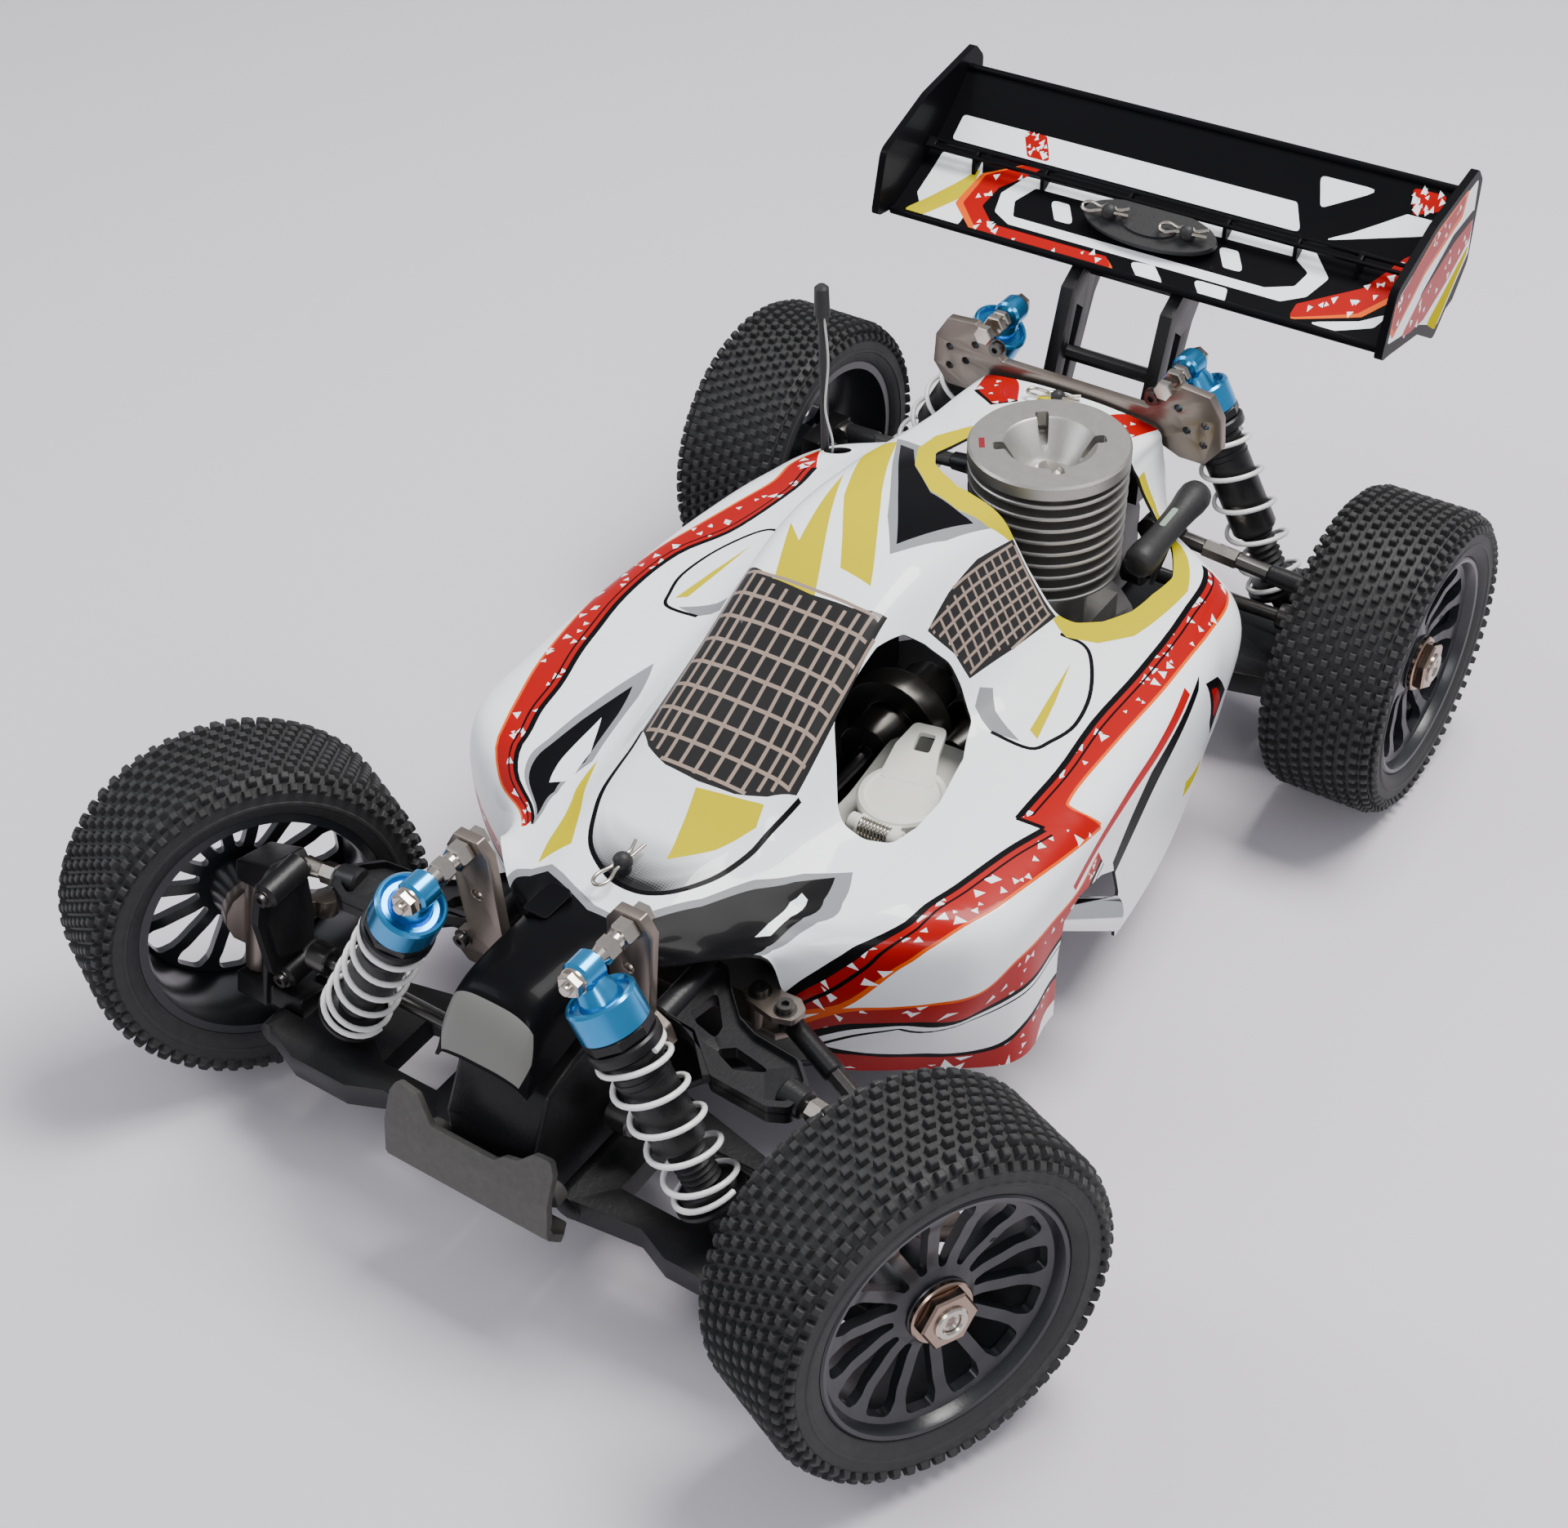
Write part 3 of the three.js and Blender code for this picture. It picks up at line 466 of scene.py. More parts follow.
# Turns a (y, z) outline with its depth along local Z into place, the depth towards +X.
SIDE = Matrix(((0, 0, 1, 0), (1, 0, 0, 0), (0, 1, 0, 0), (0, 0, 0, 1)))


def soften(piece, width=0.5, segments=2, angle=35):
    """Rounds a piece's sharp edges."""
    bevel = piece.modifiers.new("edges", "BEVEL")
    bevel.width = width * MM
    bevel.segments = segments
    bevel.limit_method = "ANGLE"
    bevel.angle_limit = math.radians(angle)
    bevel.harden_normals = False
    bevel.miter_outer = "MITER_ARC"


# ------------------------------------------------------------------ body shell
# The shell's control rows from nose to tail: y, then nine (x, z) points from the crown out and down to the
# trimmed edge, then how far each of the nine stands behind its row.
SHELL_ROWS = [
    (-191, [(0, 86), (6, 86), (11, 85.5), (13.5, 85), (15, 84.2), (16, 83.5), (16.5, 83), (17, 82.5),
            (17, 82)]),
    (-187, [(0, 98), (8, 97.5), (13, 95.5), (15.5, 92.5), (16.5, 90), (17, 88), (17.3, 86), (17.5, 84.5),
            (17.5, 83)]),
    (-180, [(0, 107), (8, 106.5), (13, 104), (15.5, 100), (16.5, 97), (17, 94), (17.4, 91), (17.7, 88),
            (18, 85.5)]),
    (-165, [(0, 109), (8, 108.5), (13, 106.5), (15.8, 103), (16.8, 100), (17.3, 97), (17.6, 94), (17.8, 91),
            (18, 89)]),
    (-147, [(0, 108), (9, 107.5), (14, 105.5), (16.5, 103), (17.3, 101), (17.8, 99), (18, 97.5), (18.2, 96),
            (18.4, 95)]),
    (-134, [(0, 106), (9, 105.5), (17, 104.2), (22, 102.5), (26, 101.5), (29, 100.5), (31, 99.6),
            (32.5, 99), (34, 98.6)]),
    (-118, [(0, 107), (12, 106.5), (21, 104.8), (29, 102), (35.5, 99.9), (40.5, 98.8), (44.5, 98.2),
            (47.5, 97.5), (49.5, 96.2)]),
    (-104, [(0, 108.5), (15, 108), (25, 105.5), (34, 101.3), (43, 98.4), (50, 96.5), (56, 92.5), (56, 84),
            (50.5, 72)],
     (0, 0, 0, 0, 0, 0, -1, -3, -5)),
    (-93, [(0, 110), (16, 109.5), (27, 107.5), (39, 101), (53, 98), (66, 95.5), (74, 86), (68, 66),
           (54.5, 50)],
     (0, 0, 0, 0, 0, 0, -2, -7, -11.5)),
    (-84, [(0, 112.5), (16, 112), (27, 110), (40, 102), (56, 98.5), (73, 97), (88, 88), (82, 60), (62, 38)],
     (0, 0, 0, 0, 0, 0, -1, -7, -16)),
    (-75, [(0, 115.5), (16, 115), (27, 112.5), (40, 103), (56, 99), (74, 98), (96, 92), (98, 66), (81, 30)],
     (0, 0, 0, 0, 0, 0, 0, -3, -5)),
    (-62, [(0, 121.5), (16, 121), (27, 118.5), (40, 105), (55, 99.5), (76, 98.5), (100, 93.5), (105, 76),
           (104, 30)]),
    (-40, [(0, 133), (15, 132.5), (26.5, 129), (39, 111), (53, 101), (78, 99.5), (101, 94.5), (105.5, 78),
           (105, 30)]),
    (-12, [(0, 146), (15, 145.5), (26.5, 142), (38, 122), (50, 104), (76, 100), (101, 95.5), (105.5, 78),
           (105, 30)]),
    (20, [(0, 152), (16, 151.5), (29, 147), (40, 128), (52, 108), (76, 101.5), (100, 96.5), (105, 78),
          (104, 30)]),
    (56, [(0, 149), (17, 148), (31, 143), (42, 125), (54, 110), (76, 103), (98, 97), (103, 78), (100, 32)]),
    (90, [(0, 140.5), (17, 139.5), (33, 135), (42, 121), (54, 110), (72, 103.5), (92, 98), (98, 80),
          (94, 42)]),
    (118, [(0, 133.5), (17, 133), (34, 129), (41, 119), (50, 110), (62, 104), (80, 99), (90, 88), (88, 68)]),
    (138, [(0, 130), (17, 129.5), (35, 126.5), (38.5, 120), (42, 113), (46, 106), (50, 100), (54, 94),
           (57, 88)]),
    (156, [(0, 127.5), (17, 127), (35, 124.5), (38, 119), (39, 114), (40, 109), (40.5, 104), (41, 100),
           (41.5, 96)]),
]
LAST_COLUMN = 8
SHELL_Y = [row[0] for row in SHELL_ROWS]
SHELL_NET = [
    [Vector((x, row[0] + (row[2][i] if len(row) > 2 else 0), z)) for i, (x, z) in enumerate(row[1])]
    for row in SHELL_ROWS
]
ACROSS = 13.0        # millimetres that one column stands for in the shell's flat map


def shell_row(y):
    """The nine points of the section at y, on a smooth curve through the control rows."""
    i = max(0, min(len(SHELL_NET) - 2, bisect_right(SHELL_Y, y) - 1))
    j = i + 1
    before, after = max(i - 1, 0), min(j + 1, len(SHELL_NET) - 1)
    step = SHELL_Y[j] - SHELL_Y[i]
    t = (y - SHELL_Y[i]) / step
    first, second = 2 * t ** 3 - 3 * t ** 2 + 1, 3 * t ** 2 - 2 * t ** 3
    rise, fall = t ** 3 - 2 * t ** 2 + t, t ** 3 - t ** 2
    span_in = (SHELL_Y[j] - SHELL_Y[before]) if before < i else 2 * step
    span_out = (SHELL_Y[after] - SHELL_Y[i]) if after > j else 2 * step
    section = []
    for k in range(LAST_COLUMN + 1):
        a, b = SHELL_NET[i][k], SHELL_NET[j][k]
        start = (b - SHELL_NET[before][k]) * (step / span_in)
        end = (SHELL_NET[after][k] - a) * (step / span_out)
        section.append(a * first + b * second + start * rise + end * fall)
    return section


ROW_CACHE = {}


def shell_at(u, y):
    """The point at column u, negative on the car's right, of the section at y."""
    key = round(y, 3)
    if key not in ROW_CACHE:
        ROW_CACHE[key] = shell_row(key)
    section = ROW_CACHE[key]
    side = -1 if u < 0 else 1
    u = min(abs(u), LAST_COLUMN)
    i = min(int(u), LAST_COLUMN - 1)
    t = u - i
    p1, p2 = section[i], section[i + 1]
    p0 = section[i - 1] if i else Vector((-section[1].x, section[1].y, section[1].z))
    p3 = section[i + 2] if i + 2 <= LAST_COLUMN else p2 * 2 - p1
    point = 0.5 * (2 * p1 + (p2 - p0) * t + (2 * p0 - 5 * p1 + 4 * p2 - p3) * t * t
                   + (3 * p1 - p0 - 3 * p2 + p3) * t ** 3)
    return Vector((side * point.x, point.y, point.z))


# The nose drops steeply ahead of this row, so the flat map is drawn out there.
NOSE_Y, NOSE_STRETCH = -180, 3.0
SHELL_SKIN = 1.2
SHELL_SPACING = 2.2


def to_map(point):
    """Flat-map place of a (column, y) pair on the shell."""
    u, y = point
    return u * ACROSS, y if y > NOSE_Y else NOSE_Y + (y - NOSE_Y) * NOSE_STRETCH


def from_map(x, v):
    return x / ACROSS, v if v > NOSE_Y else NOSE_Y + (v - NOSE_Y) / NOSE_STRETCH


def flat_map(points):
    return [to_map(point) for point in points]


def mirror(points):
    return [(-u, y) for u, y in points]


def curve(points):
    """A smooth open line through (column, y) points."""
    return [(p.x, p.y) for p in smooth_path([(u, y, 0) for u, y in points], 5)]


def strip(line, first, last):
    """A band beside a line of (column, y) points, from `first` to `last` millimetres to its left."""
    edges = ([], [])
    for i, (u, y) in enumerate(line):
        before, after = line[max(i - 1, 0)], line[min(i + 1, len(line) - 1)]
        width = max(9.0, (shell_at(u + 0.05, y) - shell_at(u - 0.05, y)).length / 0.1)
        along = Vector(((after[0] - before[0]) * width, after[1] - before[1])).normalized()
        for edge, gap in zip(edges, (first, last)):
            edge.append((u - along.y * gap / width, y + along.x * gap))
    return edges[0] + edges[1][::-1]


HEAD_HOLE = [(-0.5, 75), (-0.2, 66), (0.15, 61), (0.65, 56), (1.6, 54), (2.35, 53), (3.15, 54), (3.85, 55),
             (4.15, 58), (4.45, 66), (4.7, 78), (4.85, 91), (5.1, 105), (5.05, 122), (4.6, 131), (3.3, 134),
             (1.6, 131), (0.4, 126), (-0.5, 108)]
TANK_WINDOW = [(2.1, -45), (2.05, -30), (2.1, -20), (2.35, -9), (2.7, -3), (3.2, 3), (3.6, 4), (4.05, 0),
               (4.3, -15), (4.35, -35), (4.3, -49), (4.15, -59), (3.7, -63), (3.15, -63), (2.9, -60),
               (2.5, -52)]
ANTENNA_HOLE = (-5.5, 113)
WINDSCREEN = [(-2.05, -11), (-1, -14.5), (0, -15.5), (1, -14.5), (1.95, -11), (2.1, -40), (2.2, -69),
              (1.6, -75), (0.8, -79), (0, -80), (-0.8, -79), (-1.6, -75), (-2.2, -69), (-2.1, -40)]
SIDE_WINDOW = [(2.35, 52.5), (2.3, 32), (2.42, 14), (2.6, 0), (3.15, 6), (3.6, 8), (3.75, 30), (3.85, 54),
               (3.1, 53)]
LIP_FRONT = [(-0.8, 108), (-1.1, 91), (-0.95, 76), (-0.45, 60), (0.35, 47), (1.15, 43), (1.95, 45),
             (2.35, 50.5), (2.35, 53), (1.6, 54), (0.65, 56), (0.15, 61), (-0.5, 75), (-0.5, 108)]
LIP_SIDE = [(3.85, 52), (4.2, 50.5), (4.6, 56), (4.95, 68), (5.15, 84), (5.4, 102), (5.4, 124), (4.9, 137),
            (3.4, 139), (3.3, 134), (4.6, 131), (5.05, 122), (5.1, 105), (4.85, 91), (4.45, 66), (3.85, 55)]
ROOF_FLASHES = [
    [(-0.95, -15.5), (-1.65, 9), (-1.05, 2), (-1.6, 43), (0.1, -15.5)],
    [(0.2, -3), (1.05, -5), (0.45, 12), (-0.35, 36), (-1.6, 79), (-2.3, 76), (-0.95, 28)],
]
ROOF_PANEL = [(-1.75, 83), (-0.95, 78), (-0.4, 60), (0.35, 47), (1.2, 43), (2, 46), (1.65, 26), (0.9, 9),
              (0.2, 25), (-1, 61)]
ROOF_PANEL_BLACK = [(-1.4, 76), (-0.95, 73), (-0.4, 59), (0.4, 46), (1.3, 42), (1.7, 41), (0.85, 14),
                    (-0.05, 38)]
NOSE_OVAL = [(-2.2, -69), (-2.05, -92), (-1.8, -103), (-1.35, -114), (-0.6, -121), (0.1, -124), (0.95, -123),
             (1.6, -117), (1.95, -107), (2.1, -94), (2.2, -80), (2.3, -69)]
NOSE_FLASHES = [
    [(-3.1, -78), (-2.1, -116), (-3.4, -126), (-3, -97)],
    [(0.05, -82), (1.65, -77.5), (1.85, -85), (1.3, -98), (0.6, -109), (0.35, -98)],
]
NOSE_BORDER = [(-8.2, -134), (-5.5, -130.5), (-3.75, -129), (-2.5, -125.5), (-1.7, -128), (-1, -131),
               (0.15, -135), (1.1, -135), (1.6, -129), (2.35, -114), (2.65, -98), (3.2, -86), (3.9, -76),
               (4.2, -88), (4.7, -98), (5.55, -105), (6.65, -113), (8.2, -119)]
NOSE_BLACK = [(-8.2, -137), (-5.5, -133.5), (-3.75, -132), (-2.55, -128.5), (-1.75, -131), (-1.05, -133.5),
              (0.1, -138), (1.3, -137), (1.9, -131), (2.6, -116), (2.9, -100), (3.2, -90), (3.7, -81),
              (3.9, -90), (4.4, -99), (5.5, -108), (6.35, -114), (8.2, -121)]
NOSE_SLASH = [(3.5, -92), (3.72, -93), (4.3, -101), (5.35, -110), (5.25, -114), (4.5, -107), (3.65, -97)]
RIGHT_PANEL = [(-4.6, -111), (-4.45, -62), (-4.25, -27), (-3.8, -45), (-3.2, -79), (-3.5, -95)]
RIGHT_PANEL_BLACK = [(-4.45, -106), (-4.3, -62), (-4.15, -40), (-3.8, -55), (-3.35, -80), (-3.6, -95)]
RIGHT_PANEL_SLASH = [(-4.05, -58), (-3.8, -92), (-3.3, -89), (-3.45, -75)]
SCOOP_LINE = [(4.1, 50), (4.45, 52), (4.7, 47), (5, 33), (5.1, 19), (5, 8), (4.85, 1), (4.35, 0)]
SCOOP_SHADE = [(4.35, 0), (3.95, 4), (3.8, 10), (3.95, 14), (4.2, 8), (4.7, 2)]
SCOOP_FLASH = [(4.5, 42), (4.7, 24), (4.85, 6), (4.7, 8)]
LEFT_BAND_IN = [(5.75, 120), (5.4, 86), (5.25, 32), (5.3, -2), (5.25, -28)]
LEFT_BAND_OUT = [(6.3, 117), (5.85, 81), (5.7, 53), (5.62, 19), (5.6, -9), (5.75, -14), (6.35, -10)]
LEFT_FRONT_IN = [(5.6, -26), (5.4, -42), (5.3, -61), (5.25, -83), (5.45, -93), (6.05, -98), (7.05, -102),
                 (8, -104)]
LEFT_FRONT_OUT = [(6.35, -10), (5.95, -43), (5.8, -62), (5.75, -81), (5.95, -88), (6.3, -92), (7.1, -96),
                  (8, -100)]
BAND_JOIN = [(5.25, -28), (5.75, -14), (6.35, -10), (5.65, -27)]
RIGHT_BAND_IN = [(-5.2, 98), (-4.9, 80), (-5, 52), (-5.45, 29), (-5.5, 0), (-5.3, -26), (-5.05, -48),
                 (-5, -66), (-4.8, -85), (-4.75, -100), (-4.6, -110)]
RIGHT_BAND_OUT = [(-5.75, 111), (-5.7, 98), (-5.45, 84), (-5.5, 67), (-5.65, 47), (-5.9, 28), (-6.1, 5),
                  (-5.9, -13), (-5.6, -43), (-5.4, -67), (-5.35, -88), (-5.5, -99), (-5.3, -112)]
WAVE_TOP = [(8, -97), (7.2, -95), (6.85, -92), (6.7, -87), (6.7, -82), (6.8, -77), (6.9, -70), (7, -58),
            (7.05, -43), (7.05, -25), (6.85, -12)]
WAVE_LOW = [(8, -94.5), (7.3, -92), (7, -88), (6.95, -83), (7.15, -77), (7.2, -72), (7.3, -65), (7.35, -56),
            (7.35, -43), (7.25, -25), (7, -10)]
SKIRT_TOP = [(8.2, -92), (7.95, -91), (7.65, -85), (7.7, -79), (7.8, -73), (7.8, -66), (7.7, -57),
             (7.65, -41), (7.6, -22)]
SKIRT_LOW = [(8.3, -90), (8.25, -84), (8.3, -72), (8.2, -58), (7.9, -46), (7.85, -34), (7.8, -22)]
SIDE_STREAK = [(6.35, 66), (6.15, 70), (6.6, 25), (7.2, -2), (7.35, 0), (6.95, 26)]
SIDE_LINE = [(6.1, 60), (6.35, 31), (6.45, 10), (6.65, -10), (6.95, -28)]
REAR_CHEVRON = [(6.45, 72), (7.3, 80), (7.75, 92), (7.4, 98), (6.75, 84)]
REAR_CHEVRON_RED = [(6.75, 77), (7.25, 83), (7.55, 92), (7.4, 94), (6.9, 83)]
REAR_FLASH = [(7.5, 60), (7.65, 60), (7.85, 82), (7.75, 84)]
DECK_CHEVRON = [(0.75, 139), (1.3, 156), (2.1, 156), (1.75, 141), (1.1, 131)]
DECK_SQUARE = [(-0.5, 147), (0.35, 150), (0.4, 142), (-0.4, 139)]


def contains(points, loop):
    """Which of an array of points lie inside a loop."""
    x, y = points[:, 0], points[:, 1]
    hit = np.zeros(len(points), bool)
    for (x0, y0), (x1, y1) in zip(loop, loop[1:] + loop[:1]):
        if y0 != y1:
            crosses = (y0 > y) != (y1 > y)
            hit ^= crosses & (x < (x1 - x0) * (y - y0) / (y1 - y0) + x0)
    return hit


def paint_sheet(outline, holes, layers, spacing):
    """Triangulates a flat region so that every painted shape's edge runs along mesh edges.

    Layers are (kind, loop), later ones on top. Returns points, triangles facing up and a kind for each.
    """
    loops = [densify(loop, spacing) for loop in (outline, *holes)]
    points, edges = [], []
    for loop in loops + [densify(loop, spacing) for _, loop in layers]:
        start = len(points)
        points += loop
        edges += [(start + i, start + (i + 1) % len(loop)) for i in range(len(loop))]
    border = np.array(points)
    low, high = np.array(loops[0]).min(0), np.array(loops[0]).max(0)
    rows = int((high[1] - low[1]) / (spacing * 0.87))
    columns = int((high[0] - low[0]) / spacing)
    grid = np.array([
        (low[0] + spacing * (column + 0.5 * (row % 2)), low[1] + spacing * 0.87 * (row + 0.5))
        for row in range(rows + 1) for column in range(columns + 1)
    ])
    keep = contains(grid, loops[0])
    for hole in loops[1:]:
        keep &= ~contains(grid, hole)
    grid = grid[keep]
    near = np.zeros(len(grid), bool)
    for part in np.array_split(border, max(1, len(border) // 200)):
        gaps = (grid[:, None, :] - part[None, :, :]) ** 2
        near |= gaps.sum(2).min(1) < (0.4 * spacing) ** 2
    points += [tuple(p) for p in grid[~near]]
    found, _, faces = delaunay_2d_cdt([Vector(p) for p in points], edges, [], 0, 1e-4)[:3]
    flat = np.array([tuple(p) for p in found])
    triangles = np.array([face for face in faces if len(face) == 3])
    middles = flat[triangles].mean(1)
    shown = contains(middles, loops[0])
    for hole in loops[1:]:
        shown &= ~contains(middles, hole)
    kinds = np.zeros(len(triangles), int)
    for kind, loop in layers:
        kinds[contains(middles, loop)] = kind
    a, b, c = (flat[triangles[:, i]] for i in range(3))
    turn = (b[:, 0] - a[:, 0]) * (c[:, 1] - a[:, 1]) - (b[:, 1] - a[:, 1]) * (c[:, 0] - a[:, 0])
    triangles[turn < 0] = triangles[turn < 0][:, ::-1]
    return flat, triangles[shown], kinds[shown]


def add_skin(form, points, triangles, kinds, depth, inside_kind):
    """Adds a painted sheet with a back face `depth` behind it and a closed rim."""
    sheet = bpy.data.meshes.new("sheet")
    sheet.from_pydata(points, [], [tuple(t) for t in triangles])
    sheet.update()
    back = [Vector(p) - Vector(n.vector) * depth for p, n in zip(points, sheet.vertex_normals)]
    bpy.data.meshes.remove(sheet)
    count = len(points)
    uses = {}
    for a, b, c in triangles:
        for edge in ((a, b), (b, c), (c, a)):
            uses[frozenset(edge)] = None if frozenset(edge) in uses else edge
    rim = [(b, a, a + count, b + count) for a, b in (edge for edge in uses.values() if edge)]
    faces = [tuple(t) for t in triangles] + [(c + count, b + count, a + count) for a, b, c in triangles] + rim
    start = len(form.points)
    form.points += [Vector(p) for p in points] + back
    form.faces += [tuple(int(i) + start for i in face) for face in faces]
    form.kinds += [int(k) for k in kinds] + [inside_kind] * (len(triangles) + len(rim))


SHELL_COLORS = ["white", "red", "orange", "yellow", "black", "grey", "window", "mesh_bar", "fade", "inside",
                "smoke"]
KIND = {name: i for i, name in enumerate(SHELL_COLORS)}


def shards(band, amount, seed, size=(1.6, 4.2)):
    """Small white triangles scattered over a band of (column, y) points."""
    chance = random.Random(seed)
    loop = [tuple(p) for p in band]
    us, ys = [p[0] for p in loop], [p[1] for p in loop]
    made = []
    while len(made) < amount:
        u, y = chance.uniform(min(us), max(us)), chance.uniform(min(ys), max(ys))
        if not inside((u, y), loop):
            continue
        width = max(9.0, (shell_at(u + 0.05, y) - shell_at(u - 0.05, y)).length / 0.1)
        reach, turn = chance.uniform(*size) * 0.6, chance.uniform(0, 2 * math.pi)
        corners = [(reach * stretch, turn + angle) for stretch,
                   angle in ((1.15, 0), (0.75, 1.9), (0.75, 4.4))]
        made.append([(u + r * math.cos(a) / width, y + r * math.sin(a)) for r, a in corners])
    return made


def lattice(loop, rows, columns, bar, inset):
    """Bars of a wire mesh inside a window, as (column, y) loops that stop short of its border by inset mm."""
    us, ys = [p[0] for p in loop], [p[1] for p in loop]
    middle = (min(ys) + max(ys)) / 2
    bars = []
    for k in range(rows):
        y = min(ys) + inset + bar + (max(ys) - min(ys) - 2 * (inset + bar)) * k / (rows - 1)
        hits = [u for u in np.linspace(min(us), max(us), 160) if inside((u, y), loop)]
        if len(hits) > 2:
            ends = [hits[0] + inset / ACROSS, hits[-1] - inset / ACROSS]
            bars.append([(ends[0], y - bar / 2), (ends[1], y - bar / 2), (ends[1], y + bar / 2),
                         (ends[0], y + bar / 2)])
    for k in range(columns):
        u = min(us) + (max(us) - min(us)) * (k + 0.6) / (columns + 0.2)
        hits = [y for y in np.linspace(min(ys), max(ys), 200) if inside((u, y), loop)]
        across = (shell_at(u + 0.05, middle) - shell_at(u - 0.05, middle)).length * 10
        half = bar / across / 2
        if len(hits) > 20:
            low, high = hits[0] + inset, hits[-1] - inset
            bars.append([(u - half, low), (u + half, low), (u + half, high), (u - half, high)])
    return bars


def band_layers(inner, outer, seed, amount, side):
    """A red band: black line and pinstripe along its inner edge, orange and yellow along its outer one."""
    near, far = curve(inner), curve(outer)
    body = near + far[::-1]
    layers = [("yellow", strip(far, 0, -0.7 * side)), ("red", body), ("orange", strip(far, 0, 1.0 * side))]
    layers += [("white", shard) for shard in shards(body, amount, seed)]
    layers += [("black", strip(near, -0.6 * side, 1.5 * side)),
               ("black", strip(near, 3.2 * side, 3.9 * side))]
    return layers


def side_layers():
    """The paint that both sides share, as it lies on the left."""
    wave = curve(WAVE_TOP) + curve(WAVE_LOW)[::-1]
    skirt = curve(SKIRT_TOP) + curve(SKIRT_LOW)[::-1]
    layers = [("grey", SCOOP_SHADE), ("black", strip(curve(SCOOP_LINE), -0.7, 0.7))]
    layers += [("yellow", SCOOP_FLASH), ("window", SIDE_WINDOW)]
    layers += [("mesh_bar", bar) for bar in lattice(SIDE_WINDOW, 12, 8, 1.0, 1.2)]
    layers += [("black", REAR_CHEVRON), ("red", REAR_CHEVRON_RED), ("yellow", REAR_FLASH)]
    layers += [("black", SIDE_STREAK), ("red", strip(curve(SIDE_LINE), -1.6, 1.6))]
    for band, seed in ((wave, 5), (skirt, 6)):
        layers.append(("red", band))
        layers += [("white", shard) for shard in shards(band, 26, seed, (1.2, 3))]
    layers += [("orange", strip(curve(WAVE_TOP), -0.3, 0.7)), ("black", strip(curve(WAVE_LOW), -1.2, 0.6))]
    layers += [("black", strip(curve(WAVE_LOW), -3.4, -2.7)), ("black", strip(curve(SKIRT_TOP), -0.6, 1.4))]
    layers += [("red", DECK_CHEVRON), ("black", strip(DECK_CHEVRON[3:] + DECK_CHEVRON[:1], -0.8, 0.8))]
    layers += [("white", shard) for shard in shards(DECK_CHEVRON, 6, 9)]
    return layers


def nose_layers():
    """The black mask over the nose, with its halftone oval."""
    nose_tip = [(8.2, -140), (8.2, -192), (-8.2, -192), (-8.2, -140)]
    mouth = [(-2.6, -182), (2.6, -182), (3.6, -186), (3.4, -190.4), (-3.4, -190.4), (-3.6, -186)]
    oval = curve(NOSE_OVAL)
    layers = [("grey", NOSE_BORDER + nose_tip), ("black", NOSE_BLACK + nose_tip), ("white", NOSE_SLASH)]
    return layers + [("smoke", mouth), ("fade", oval), ("black", strip(oval, -0.9, 0.9))]


def shell_layers():
    """All the painted outlines on the shell, the later ones on top."""
    sides = side_layers()
    layers = sides + [(name, mirror(loop)) for name, loop in sides]
    layers += band_layers(LEFT_BAND_IN, LEFT_BAND_OUT, 1, 40, 1)
    layers += band_layers(LEFT_FRONT_IN, LEFT_FRONT_OUT, 2, 34, 1)
    layers += band_layers(RIGHT_BAND_IN, RIGHT_BAND_OUT, 3, 60, -1)
    layers += [("red", BAND_JOIN), ("black", strip([(5.25, -28), (5.6, -26.5)], -0.8, 0.8))]
    layers += [("grey", RIGHT_PANEL), ("black", RIGHT_PANEL_BLACK), ("white", RIGHT_PANEL_SLASH)]
    layers += nose_layers()
    layers += [("yellow", flash) for flash in NOSE_FLASHES + ROOF_FLASHES]
    layers += [("grey", ROOF_PANEL), ("black", ROOF_PANEL_BLACK)]
    layers += [("window", WINDSCREEN)]
    layers += [("mesh_bar", bar) for bar in lattice(WINDSCREEN, 9, 12, 1.2, 1.5)]
    layers += [("yellow", LIP_FRONT), ("yellow", LIP_SIDE), ("yellow", DECK_SQUARE)]
    return layers


# The paints of the shell and the wing: a linear colour, then coat and specular where they differ.
PAINTS = {
    "white": [(0.87, 0.90, 0.93)],
    "red": [(0.34, 0.0, 0.0), 0.12],
    "orange": [(0.70, 0.09, 0.0), 0.1],
    "yellow": [(0.50, 0.42, 0.0), 0.0, 0.0],
    "black": [(0.004, 0.004, 0.005), 0.03, 0.04],
    "grey": [(0.22, 0.225, 0.24), 0.03, 0.04],
    "window": [(0.014, 0.013, 0.013)],
    "mesh_bar": [(0.27, 0.205, 0.165)],
    "smoke": [(0.17, 0.17, 0.155), 0.2],
}
# The nose paint goes from white to black between these two rows, in dots of this many per metre.
FADE_TIP, FADE_START, FADE_DOTS = -121, -96, 1100


def painted(name):
    return shell_paint(name, *PAINTS[name])


def shell_materials():
    colors = {name: painted(name) for name in PAINTS}
    colors["fade"] = fading_paint()
    # The shell's inner faces and cut rims take the near-black nylon: painted shade under the shell.
    colors["inside"] = matt_nylon()
    return [colors[name] for name in SHELL_COLORS]


